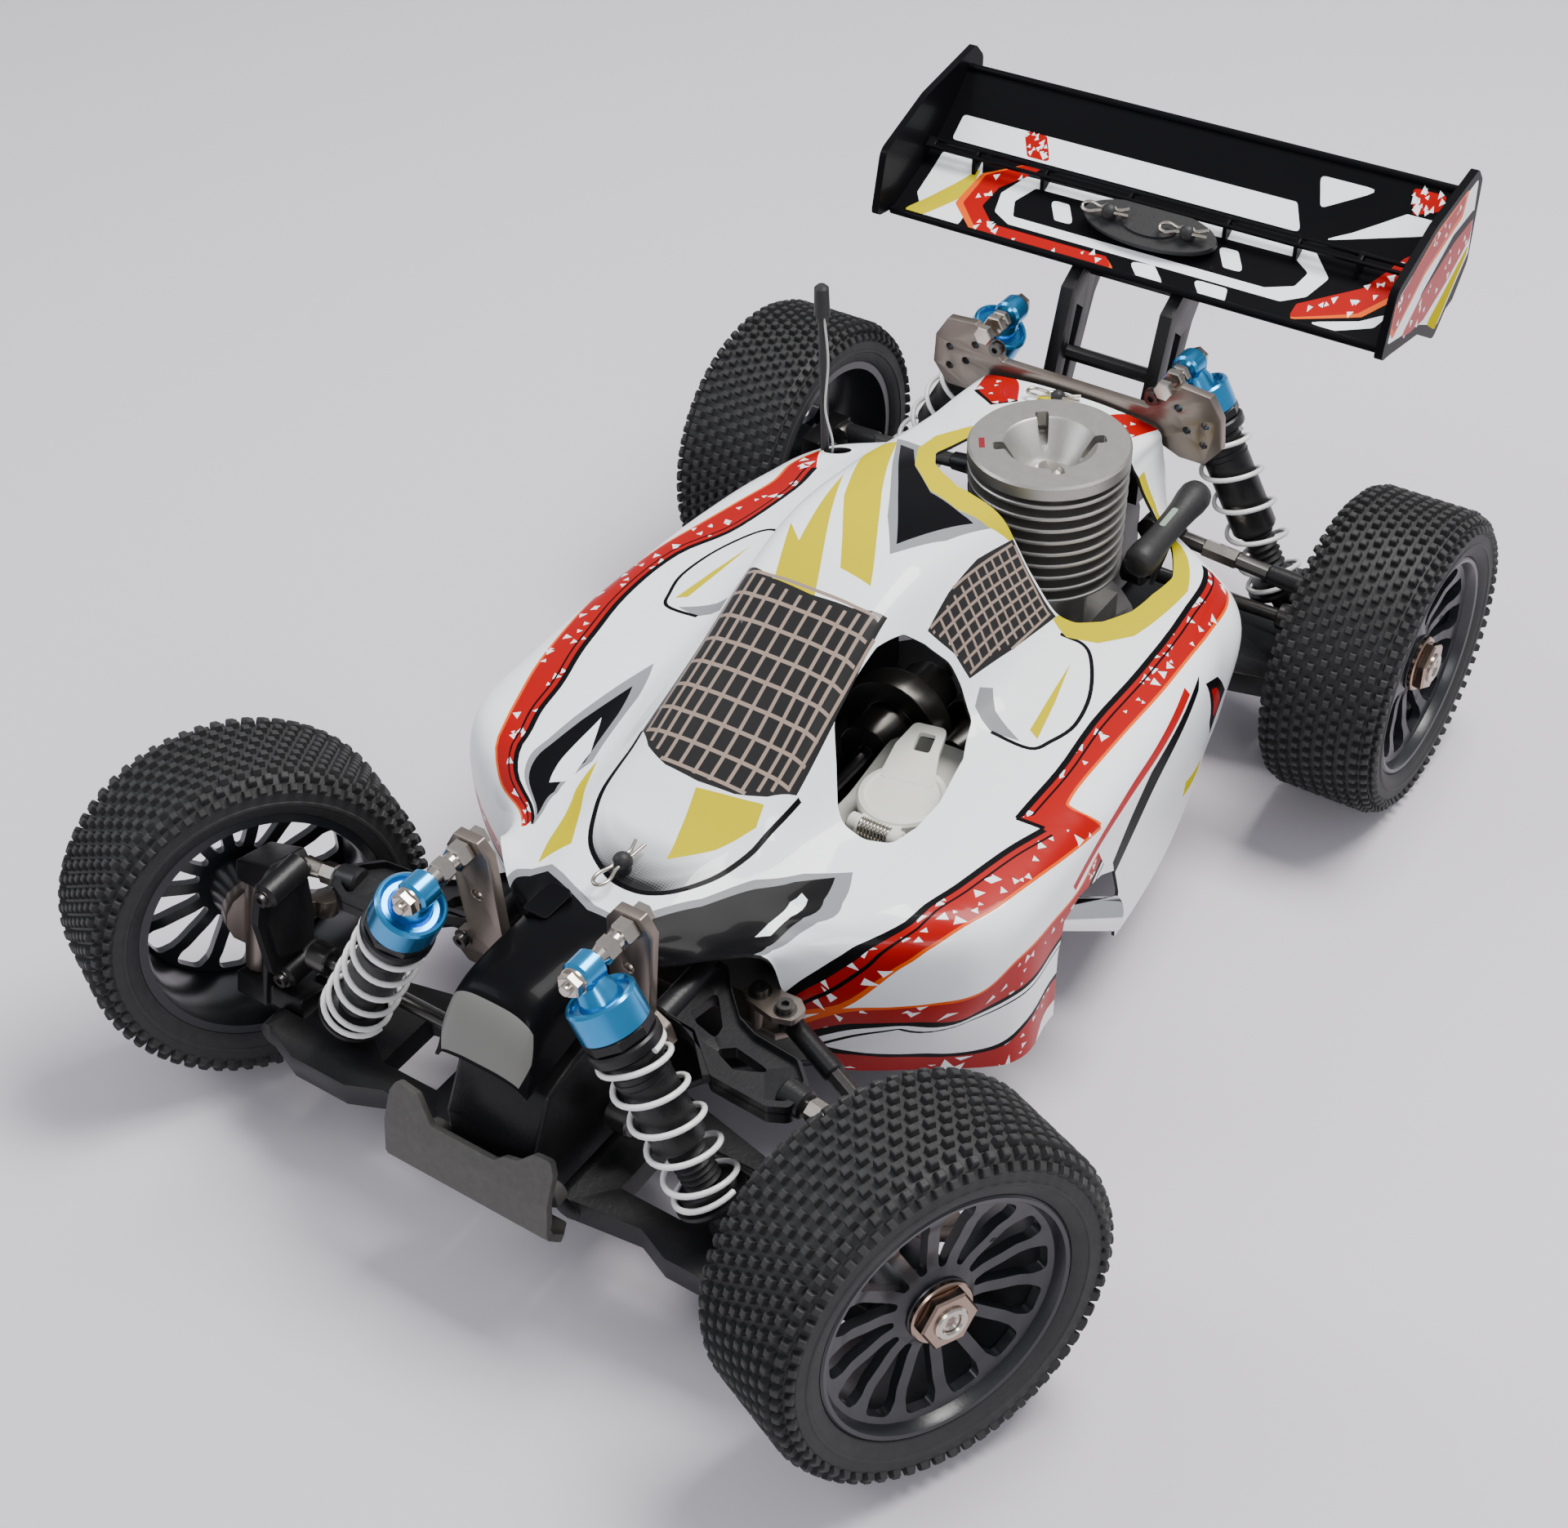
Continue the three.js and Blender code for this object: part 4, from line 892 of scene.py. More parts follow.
def fading_paint():
    """White paint that darkens to black towards the tip of the nose in a halftone."""
    made = shell_paint("fade", (0.8, 0.83, 0.86))
    nodes, links = made.node_tree.nodes, made.node_tree.links
    place = nodes.new("ShaderNodeTexCoord")
    split = nodes.new("ShaderNodeSeparateXYZ")
    links.new(place.outputs["Object"], split.inputs["Vector"])
    tone = nodes.new("ShaderNodeMapRange")
    tone.inputs["From Min"].default_value = ORIGIN.y + FADE_TIP * MM
    tone.inputs["From Max"].default_value = ORIGIN.y + FADE_START * MM
    links.new(split.outputs["Y"], tone.inputs["Value"])
    dots = nodes.new("ShaderNodeTexVoronoi")
    dots.inputs["Scale"].default_value = FADE_DOTS
    dots.inputs["Randomness"].default_value = 0
    links.new(place.outputs["Object"], dots.inputs["Vector"])
    mix = nodes.new("ShaderNodeMath")
    mix.operation = "MULTIPLY_ADD"
    mix.inputs[1].default_value = 0.25
    links.new(dots.outputs["Distance"], mix.inputs[0])
    links.new(tone.outputs["Result"], mix.inputs[2])
    ramp = nodes.new("ShaderNodeValToRGB")
    ramp.color_ramp.elements[0].position = 0.15
    ramp.color_ramp.elements[0].color = (0.012, 0.012, 0.013, 1)
    ramp.color_ramp.elements[1].position = 0.95
    ramp.color_ramp.elements[1].color = (0.80, 0.83, 0.86, 1)
    links.new(mix.outputs["Value"], ramp.inputs["Fac"])
    links.new(ramp.outputs["Color"], nodes["Principled BSDF"].inputs["Base Color"])
    return made


# The left edge rises here round the exhaust's tip.
EXHAUST_NOTCH = [(7.46, -37), (7.2, -34), (7.12, -24), (7.18, -10), (7.31, 0), (7.58, 5)]


def build_shell():
    edge = LAST_COLUMN
    front, rear = SHELL_Y[0], SHELL_Y[-1]
    outline = [(-edge, front), (edge, front), (edge, -36.5), *EXHAUST_NOTCH, (edge, 6), (edge, rear),
               (-edge, rear)]
    holes = [rounded(flat_map(HEAD_HOLE), 6, 3), rounded(flat_map(TANK_WINDOW), 5, 3),
             ring(to_map(ANTENNA_HOLE), 3.2, 16)]
    layers = [(KIND[name], flat_map(loop)) for name, loop in shell_layers()]
    flat, triangles, kinds = paint_sheet(flat_map(outline), holes, layers, SHELL_SPACING)
    points = [shell_at(*from_map(*p)) for p in flat]
    form = Form()
    add_skin(form, points, triangles, kinds, SHELL_SKIN, KIND["inside"])
    link_mesh("body_shell_skin", form.mesh("body_shell_skin"), shell_materials(), "chassis",
              60, ["body_shell"])


# ------------------------------------------------------------------ finishing the CAD's own shapes
BODY_OF = {node: body for body, members in frame["record"]["behaviour"]["bodies"].items() for node in members}
JOINTS = {joint["name"]: joint for joint in frame["joints"]}
FINISHES = {
    "chassis_alloy": lambda: material("chassis_alloy", (0.045, 0.045, 0.048), 0.4, metallic=0.8, mottle=0.1,
                                      rough_spread=0.06),
    "black_nylon": nylon,
    "bronze_alloy": bronze,
    "wing_plastic": lambda: painted("black"),
    "raw_alloy": raw_alloy,
    "antenna_rubber": matt_nylon,
    "chrome": chrome,
    "steel": dark_screw,
    "tyre_rubber": rubber,
    "tank_plastic": tank_plastic,
}
# Edge rounding in millimetres for the CAD shapes that are kept.
ROUNDED_NODES = {
    "chassis_plate": 0.4, "front_gearbox": 1.6, "rear_gearbox": 1.6,
    "wing_mount": 0.9, "radio_box": 2.0, "steering_servo": 1.2, "servo_saver": 0.8, "front_shock_tower": 0.5,
    "rear_shock_tower": 0.5, "engine_block": 1.0, "exhaust_pipe": 0.5, "centre_drive": 0.4,
    "clutch_bell": 0.5, "steering_plate": 0.5, "tie_rod_left": 0.3, "tie_rod_right": 0.3,
    **{f"{part}_{end}_{side}": size
       for part, end, size in (("lower_arm", "front", 1.4), ("lower_arm", "rear", 1.4),
                               ("upper_link", "rear", 0.5), ("knuckle", "front", 0.8))
       for side, _ in SIDES},
    "rear_hub_left": 1.6, "rear_hub_right": 1.6,
}
SLOT_OF = {part["node"]: part["material_slot"] for part in frame["record"]["subparts"]}


def refine(node, size):
    """Stands in for a CAD node with the same shape, welded and with its edges rounded."""
    mesh = frame["nodes"][node].data.copy()
    work = bmesh.new()
    work.from_mesh(mesh)
    bmesh.ops.remove_doubles(work, verts=work.verts, dist=0.02 * MM)
    bmesh.ops.dissolve_limit(work, angle_limit=math.radians(2), verts=work.verts, edges=work.edges)
    work.to_mesh(mesh)
    work.free()
    mesh.transform(CAR.inverted())
    mesh.materials.clear()
    piece = link_mesh(f"{node}_finished", mesh, FINISHES[SLOT_OF[node]](), BODY_OF[node],
                      180, [node])
    soften(piece, size, 3, 38)
    piece.modifiers["edges"].harden_normals = True


def carve(piece, cutter):
    """Cuts one closed form out of a piece."""
    tool = bpy.data.objects.new("cutter", cutter.mesh("cutter"))
    tool.data.transform(CAR)
    bpy.context.scene.collection.objects.link(tool)
    cut = piece.modifiers.new("cut", "BOOLEAN")
    cut.operation = "DIFFERENCE"
    cut.solver = "EXACT"
    cut.object = tool
    done = bpy.data.meshes.new_from_object(piece.evaluated_get(bpy.context.evaluated_depsgraph_get()))
    piece.modifiers.clear()
    piece.data = done
    bpy.data.objects.remove(tool)


# ------------------------------------------------------------------ wheels
TYRE = {"rim": 41.5, "tread": 55.1, "side": 21.9, "pins_round": 66, "pin_high": 2.35, "pin_wide": 2.9}
PIN_ROWS = (-15.3, -10.9, -6.5, -2.2, 2.2, 6.5, 10.9, 15.3)
SHOULDER_ROWS = ((18.4, 53.9, 26), (20.4, 51.3, 50))      # along the axle, radius, tilt in degrees
RIM_WINDOWS = 14


def wheel_frame(end, side, sign):
    """The wheel's centre, its local Z along the axle and away from the car, in car millimetres."""
    joint = JOINTS[f"wheel_spin_{end}_{side}"]
    axis = Vector(joint["axis"]).normalized()
    if axis.x * sign < 0:
        axis = -axis
    return aim(CAR.inverted() @ Vector(joint["pos_m"]), axis)


def tyre_pin(form, turn, angle, along, radius, tilt, wide, high):
    """A square tread pin that tapers to a chamfered top."""
    place = (turn @ Matrix.Rotation(angle, 4, "Z") @ Matrix.Translation((radius, 0, along))
             @ Matrix.Rotation(math.radians(90 - tilt), 4, "Y"))
    rings = ((wide * 0.5, -0.6), (wide * 0.41, high - 0.35), (wide * 0.3, high))
    points = [(sx * half, sy * half, z) for half, z in rings for sx,
              sy in ((-1, -1), (1, -1), (1, 1), (-1, 1))]
    faces = [(8, 9, 10, 11)]
    for base in (0, 4):
        faces += [(base + k, base + (k + 1) % 4, base + 4 + (k + 1) % 4, base + 4 + k) for k in range(4)]
    form.add(points, faces, 0, place)


def build_tyre(end, side, turn):
    side_z, tread = TYRE["side"], TYRE["tread"]
    half = [(TYRE["rim"], 19.4), (43.2, 20.9), (45.6, 21.5), (46, 21.9), (46.9, 21.9), (47.3, 21.6),
            (50.2, side_z - 0.4), (51.6, 20.4), (53.2, 19.3), (54.5, 17.4), (tread, 14.6)]
    profile = [(radius, -z) for radius, z in half] + [(tread + 0.15, 0)] + half[::-1]
    form = Form().add(*lathe(profile, 96, closed=True), 0, turn)
    count = TYRE["pins_round"]
    for row, along in enumerate(PIN_ROWS):
        for k in range(count):
            angle = 2 * math.pi * (k + 0.5 * (row % 2)) / count
            tyre_pin(form, turn, angle, along, tread, 0, TYRE["pin_wide"], TYRE["pin_high"])
    for sign in (-1, 1):
        for row, (along, radius, tilt) in enumerate(SHOULDER_ROWS):
            for k in range(count):
                angle = 2 * math.pi * (k + 0.5 * ((row + 1) % 2)) / count
                tyre_pin(form, turn, angle, sign * along, radius, sign * tilt, TYRE["pin_wide"],
                         TYRE["pin_high"])
    link_mesh(f"tyre_{end}_{side}_tread", form.mesh("tyre"), rubber(), f"wheel_{end}_{side}",
              30, [f"tyre_{end}_{side}"])


def dish_height(x, y, lift=0.0):
    """How far out the rim's face stands at a point, along the axle."""
    radius = math.hypot(x, y)
    knots = ((0, 14.2), (9.5, 14.2), (12.5, 12.6), (16, 12.2), (26, 13.2), (36, 15.6), (39, 16.4))
    for (r0, z0), (r1, z1) in zip(knots, knots[1:]):
        if radius <= r1:
            t = (radius - r0) / (r1 - r0)
            return z0 + (z1 - z0) * t * t * (3 - 2 * t) + lift
    return knots[-1][1] + lift


def build_rim(end, side, turn):
    body = f"wheel_{end}_{side}"
    window = rounded([(13.4, -1.1), (31.2, -5.1), (36, -4.6), (36, 4.6), (31.2, 5.1), (13.4, 1.1)], 3.2, 5)
    windows = []
    for k in range(RIM_WINDOWS):
        angle = 2 * math.pi * (k + 0.5) / RIM_WINDOWS
        c, s = math.cos(angle), math.sin(angle)
        windows.append([(x * c - y * s, x * s + y * c) for x, y in window])
    face = plate(ring((0, 0), 38.6, 84), windows, lambda x, y: dish_height(x, y, -3.4), dish_height, 2.6,
                 True)
    form = Form().add(*face, 0, turn)
    piece = link_mesh(f"rim_{end}_{side}_face", form.mesh("rim_face"), nylon_satin(), body, 45)
    soften(piece, 0.55, 2, 50)
    barrel = [(38.4, -19.2), (41.3, -19.2), (41.3, -17.4), (39.2, -15.6), (39.2, 15.4), (41.3, 17.4),
              (41.3, 19.4), (40.6, 19.9), (39.4, 19.6), (38.6, 18.2), (38, 16.2), (37.4, 14.6), (37.4, -16)]
    ribs = Form().add(*lathe(barrel, 96, closed=True), 0, turn)
    ribs.add(*lathe([(0, -12), (9, -12), (10.4, 4), (10.4, 14.6), (9.6, 15.4), (0, 15.4)], 48), 0, turn)
    link_mesh(f"rim_{end}_{side}_barrel", ribs.mesh("rim_barrel"), nylon_satin(), body, 32,
              [f"rim_{end}_{side}"])
    nut = Form().add(*lathe([(0, 15.2), (10.3, 15.2), (10.3, 16.3), (9.8, 16.8), (0, 16.8)], 48), 0, turn)
    nut.add(*hexagon((0, 0, 16.5), (0, 0, 20.4), 16.4, 0.7), 0, turn)
    link_mesh(f"wheel_nut_{end}_{side}", nut.mesh("wheel_nut"), nut_bronze(), body, 25)
    bolt = Form().add(*lathe([(3.1, 20), (5.4, 20), (5.4, 21), (4.9, 21.5), (3.6, 21.5), (3.1, 21)], 36,
                             True), 0, turn)
    bolt.add(*lathe([(0, 18), (3, 18), (3, 20.6), (2.2, 21), (1.5, 20.4), (0, 20.4)], 24), 0, turn)
    link_mesh(f"axle_end_{end}_{side}", bolt.mesh("axle_end"), steel(), body, 30)


def nylon_satin():
    return material("rim_plastic", (0.014, 0.015, 0.018), 0.30, mottle=0.2, bump=0.12, rough_spread=0.06)


def nut_bronze():
    return material("nut_bronze", (0.34, 0.25, 0.20), 0.24, metallic=1, mottle=0.1, rough_spread=0.05)


# ------------------------------------------------------------------ shocks
SHOCKS = {
    "front": {"y": -174, "top": (30, 127.5), "foot": (74, 47), "nut": -1},
    "rear": {"y": 176, "top": (37, 141), "foot": (86, 50), "nut": 1},
}
SPRING = {"radius": 10.5, "wire": 0.95, "turns": 6.0, "closed": 0.8, "top": -27.6}


def coil_path(length, top):
    """A spring's centre line down from `top`, its end turns closed up."""
    turns, closed = SPRING["turns"], SPRING["closed"]
    steps = int(turns * 30)
    flat = 2.1 * closed
    path = []
    for i in range(steps + 1):
        turned = turns * i / steps
        if turned < closed:
            z = flat * turned / closed
        elif turned > turns - closed:
            z = length - flat * (turns - turned) / closed
        else:
            z = flat + (length - 2 * flat) * (turned - closed) / (turns - 2 * closed)
        angle = 2 * math.pi * turned
        path.append((SPRING["radius"] * math.cos(angle), SPRING["radius"] * math.sin(angle), top - z))
    return path


class Shock:
    """One shock's bodies, its place, and the heights along it counted from its upper eye."""

    def __init__(self, end, side, sign):
        spec = SHOCKS[end]
        self.name = f"{end}_{side}"
        self.damper, self.shaft = f"damper_{self.name}", f"shaft_{self.name}"
        self.top = Vector((sign * spec["top"][0], spec["y"], spec["top"][1]))
        foot = Vector((sign * spec["foot"][0], spec["y"], spec["foot"][1]))
        self.length = (self.top - foot).length
        self.turn = aim(self.top, self.top - foot)
        self.body_end, self.cup = -0.66 * self.length, 12 - self.length
        self.y, self.front = spec["y"], spec["nut"]


def build_shock_cap(shock):
    """The blue cap with its eye."""
    turn = shock.turn
    cap = Form().add(*lathe([(0, -18.4), (10.9, -18.4), (10.9, -9.2), (10.3, -8.4), (9.6, -8.2), (9, -8.8),
                             (8.6, -10), (6.9, -10), (6.4, -9), (5.6, -5.4), (4.2, -2.4), (0, -1.2)], 64),
                             0, turn)
    cap.add(*rod((0, -4.2, 0), (0, 4.2, 0), 5.3, 40, 0.9), 0, turn)
    link_mesh(f"shock_cap_{shock.name}", cap.mesh("cap"), blue_alloy(), shock.damper, 32,
              [f"shock_body_{shock.name}"])


def build_shock_body(shock):
    """The black body with its collar and thread."""
    turn, body_end = shock.turn, shock.body_end
    collar = Form().add(*rod((0, 0, -22.4), (0, 0, -18.6), 11.2, 8, 0.6), 0, turn)
    collar.add(*lathe([(0, -26.2), (11.2, -26.2), (11.4, -25.6), (11.4, -23.3), (10.8, -22.6), (0, -22.6)],
                      48), 0, turn)
    collar.add(*lathe([(2.6, body_end), (7.6, body_end), (8.3, body_end + 1.2), (8.3, -26), (2.6, -26)], 48,
                      True), 0, turn)
    for k in range(5):
        z = -27.5 - 2.2 * k
        collar.add(*lathe([(8, z), (8.55, z - 0.35), (8, z - 0.7)], 40, True), 0, turn)
    link_mesh(f"shock_body_{shock.name}_black", collar.mesh("body"), nylon(), shock.damper, 32)


def build_shock_seat(shock):
    """The spring's lower seat with the lower eye, and the steel stem."""
    turn = shock.turn
    length, cup, body_end = shock.length, shock.cup, shock.body_end
    seat = Form().add(*lathe([(0, cup - 3.2), (9.6, cup - 3.2), (11.3, cup - 1.4), (11.3, cup - 0.2),
                              (8.8, cup), (8.6, cup + 3.4), (7.4, cup + 4), (2.2, cup + 4), (0, cup + 4)],
                              48), 0, turn)
    seat.add(*rod((0, -4.2, -length), (0, 4.2, -length), 4.6, 32, 0.8), 0, turn)
    seat.add(*rod((0, 0, 1.5 - length), (0, 0, cup - 2), 4.2, 24, 0.3, 5.2), 0, turn)
    link_mesh(f"shock_seat_{shock.name}", seat.mesh("seat"), nylon(), shock.shaft, 32,
              [f"shock_rod_{shock.name}"])
    stem = Form().add(*rod((0, 0, cup + 3), (0, 0, body_end + 12), 1.8, 20, 0.2), 0, turn)
    link_mesh(f"shock_stem_{shock.name}", stem.mesh("stem"), steel(), shock.shaft, 32)


def build_shock_spring(shock):
    """The coil between the body and the stem."""
    turn, cup = shock.turn, shock.cup
    wire = Form().add(*sweep(coil_path(SPRING["top"] - (cup + 1.5), SPRING["top"]), SPRING["wire"], 10), 0,
                      turn)
    spring = loose_mesh(f"spring_{shock.name}_coil", wire, spring_white(),
                        [f"spring_{shock.name}"])
    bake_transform(spring)


def build_shock_boot(shock):
    """The ribbed sleeve round the stem."""
    turn = shock.turn
    ridges = 7
    start, stop = shock.body_end - 0.4, shock.cup + 4.4
    profile = [(2.0, start)]
    for k in range(ridges):
        z = start + (stop - start) * (k + 0.5) / ridges
        step = (stop - start) / ridges
        profile += [(4.9, z - step * 0.45), (6.1, z)]
    profile += [(4.9, stop), (2.0, stop)]
    boot = loose_mesh(f"shock_boot_{shock.name}", Form().add(*lathe(profile[::-1], 36, True), 0, turn),
                      matt_nylon())
    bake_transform(boot)


def build_shock_nut(shock):
    """The nut and washer at the upper eye."""
    turn, front = shock.turn, shock.front
    bolts = Form().add(*hexagon((0, front * 4.4, 0), (0, front * 8, 0), 7, 0.5), 0, turn)
    bolts.add(*rod((0, front * 7.5, 0), (0, front * 9.6, 0), 1.9, 20, 0.3), 0, turn)
    bolts.add(*lathe([(0, 0), (4.4, 0), (4.4, 0.7), (0, 0.7)], 32), 0,
              turn @ Matrix.Translation((0, front * 4.3, 0)) @ Matrix.Rotation(-front * math.pi / 2, 4, "X"))
    link_mesh(f"shock_nut_{shock.name}", bolts.mesh("nut"), steel(), shock.damper, 30)


def build_shock_post(shock):
    """The post that holds the upper eye off the shock tower."""
    x, z = shock.top.x, shock.top.z
    tower, back = (-153.6, 4.1) if shock.y < 0 else (162.1, -4.1)
    near = shock.y - shock.front * 4.4
    post = Form()
    span = near - tower
    post.add(*hexagon((x, tower, z), (x, tower + span * 0.34, z), 7.6, 0.5))
    post.add(*rod((x, tower + span * 0.3, z), (x, tower + span * 0.52, z), 2.9, 24, 0.3))
    post.add(*hexagon((x, tower + span * 0.5, z), (x, tower + span * 0.8, z), 7, 0.5))
    post.add(*rod((x, tower + span * 0.78, z), (x, near, z), 3.1, 24, 0.3, 2.4))
    post.add(*hexagon((x, tower + back, z), (x, tower + back * 1.9, z), 6.5, 0.4))
    link_mesh(f"shock_post_{shock.name}", post.mesh("post"), steel(), "chassis", 30)


def build_shock(end, side, sign):
    shock = Shock(end, side, sign)
    for build in (build_shock_cap, build_shock_body, build_shock_seat, build_shock_spring, build_shock_boot,
                  build_shock_nut, build_shock_post):
        build(shock)


def loose_mesh(name, form, made, replaces=()):
    """A piece with no parent, for shapes that stretch between two bodies."""
    mesh = form.mesh(name)
    mesh.transform(CAR)
    mesh.materials.append(made)
    mesh.shade_smooth()
    mesh.set_sharp_from_angle(angle=math.radians(50))
    piece = bpy.data.objects.new(name, mesh)
    bpy.context.scene.collection.objects.link(piece)
    if replaces:
        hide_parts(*replaces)
    return piece


# ------------------------------------------------------------------ engine head, grip, tank, antenna
HEAD = {"x": 26, "y": 92, "radius": 28, "top": 151, "fins": 9, "pitch": 4.9, "fin": 1.5}


def head_profile():
    """The cooling head's outline, from its underside up over the fins and into the bowl on top."""
    radius, top, fin, pitch = HEAD["radius"], HEAD["top"], HEAD["fin"], HEAD["pitch"]
    core = radius - 9
    profile = [(0, 97), (16, 97)]
    for k in reversed(range(HEAD["fins"])):
        foot = top - 5.4 - pitch * (k + 1) + (pitch - fin) * 0.4
        reach = radius - 0.25 - 0.12 * k
        profile += [(core, foot), (reach - 0.4, foot), (reach, foot + 0.4), (reach, foot + fin - 0.4),
                    (reach - 0.4, foot + fin), (core, foot + fin)]
    return profile + [(core, top - 5.6), (radius - 0.6, top - 5.6), (radius, top - 5), (radius, top - 0.8),
                      (radius - 0.8, top), (16.2, top), (15.4, top - 0.5), (9, top - 11), (7.6, top - 12.2),
                      (0, top - 12.6)]


def build_head():
    turn = Matrix.Translation((HEAD["x"], HEAD["y"], 0))
    top = HEAD["top"]
    piece = link_mesh("cooling_head_fins", Form().add(*lathe(head_profile(), 96), 0, turn).mesh("head"),
                      raw_alloy(), "chassis", 30, ["cooling_head"])
    keyholes = Form()
    for k in range(4):
        angle = math.radians(38 + 90 * k)
        outline = rounded([(10.5, -1.3), (17, -2.3), (19.4, -2.3), (19.4, 2.3), (17, 2.3), (10.5, 1.3)],
                          1.9, 4)
        turned = [(x * math.cos(angle) - y * math.sin(angle), x * math.sin(angle) + y * math.cos(angle))
                  for x, y in outline]
        keyholes.add(*plate(turned, [], top - 8, top + 2), 0, turn)
    carve(piece, keyholes)
    piece.data.shade_smooth()
    piece.data.set_sharp_from_angle(angle=math.radians(30))
    build_glow_plug(turn, top)


def build_glow_plug(turn, top):
    """The plug in the middle of the head, and the small red mark beside it."""
    plug = Form().add(*lathe([(0, 97), (5, 97), (5, top - 11), (3.6, top - 9.6), (0, top - 9.6)], 24), 0,
                      turn)
    plug.add(*hexagon((HEAD["x"], HEAD["y"], top - 12), (HEAD["x"], HEAD["y"], top - 10.2), 8, 0.3))
    link_mesh("glow_plug", plug.mesh("plug"), steel(), "chassis", 30)
    mark = Form().add(*plate([(-3, -1), (3, -1), (3, 1), (-3, 1)], [], top - 0.2, top + 0.06), 0,
                      turn @ Matrix.Rotation(math.radians(-58), 4, "Z") @ Matrix.Translation((0, -23, 0)))
    link_mesh("head_mark", mark.mesh("mark"), shell_paint("deep_red", (0.20, 0.01, 0.015)), "chassis",
              30)


def build_grip():
    low, high = Vector((60, 94.5, 110)), Vector((60, 143.5, 114))
    radii = [0.5, 3.6, 5.2, 5.9, 5.9, 5.3, 4.9, 4.8, 4.9, 5.3, 5.9, 5.9, 5.2, 3.6, 0.5]
    stops = [0, 0.012, 0.035, 0.08, 0.16, 0.26, 0.38, 0.5, 0.62, 0.74, 0.84, 0.92, 0.965, 0.988, 1]
    form = Form().add(*sweep([low.lerp(high, t) for t in stops], radii, 28))
    form.add(*sweep([(60, 119, 109), (57.5, 120.4, 98), (54, 122, 84)], [2.6, 1.8, 0.9], 16))
    link_mesh("starter_grip_moulding", form.mesh("grip"), matt_nylon(), "starter_grip", 60,
              ["starter_grip"])
    slot_shape = Form().add(*plate(rounded([(-1.1, -5.5), (1.1, -5.5), (1.1, 5.5), (-1.1, 5.5)], 0.9, 3),
                                   [], 3.6, 5.05), 0,
                            Matrix.Translation((60, 119, 112)) @ Matrix.Rotation(0.08, 4, "X"))
    knot_cord = material("cord_end", (0.22, 0.30, 0.24), 0.6, mottle=0.3)
    link_mesh("starter_grip_knot", slot_shape.mesh("knot"), knot_cord,
              "starter_grip", 40)


def build_antenna():
    x, y = -80, 113
    form = Form().add(*rod((x, y, 62.3), (x, y, 68), 5, 28, 0.8))
    form.add(*rod((x, y, 67), (x, y, 168), 1.6, 20, 0.3))
    form.add(*rod((x, y, 157), (x, y, 170), 3.0, 24, 1.1, 2.7))
    form.add(*rod((x, y, 155), (x, y, 158), 2.2, 24, 0.5))
    link_mesh("antenna_tube_round", form.mesh("antenna"), matt_nylon(), "chassis", 40,
              ["antenna_tube"])
    path = smooth_path([(x + 1.5, y - 1, 158), (x + 3.2, y - 1.5, 140), (x + 2, y - 2.2, 120),
                        (x + 4.2, y - 1, 105), (x + 2.4, y - 1, 92)], 8)
    link_mesh("antenna_wire", Form().add(*sweep(path, 0.45, 8)).mesh("wire"),
              material("clear_wire", (0.42, 0.42, 0.40), 0.25, mottle=0.05), "chassis", 60)


def build_tank():
    body = plate(rounded([(21, -59), (69, -59), (75, -53), (75, 2), (70, 5), (26, 5), (20.5, 0),
                          (20.5, -53)], 4, 5), [],
                 31, lambda x, y: 81 + 4.5 * max(0.0, min(1.0, (y + 26) / 22)) - 0.004 * (x - 46) ** 2, 3.5,
                 True)
    form = Form().add(*body)
    form.add(*lathe([(0, 76), (13.6, 76), (13, 84), (12.6, 86.6), (0, 86.6)], 48), 0,
             Matrix.Translation((44, -30, 0)))
    form.add(*rod((33, -52, 76), (33, -52, 84), 3.4, 24, 0.6))
    form.add(*sweep([(62, -6, 84), (63, 0, 88), (64, 5, 91)], 2.6, 16))
    piece = link_mesh("fuel_tank_moulding", form.mesh("tank"), tank_plastic(), "chassis", 50,
                      ["fuel_tank"])
    soften(piece, 1.6, 4, 40)


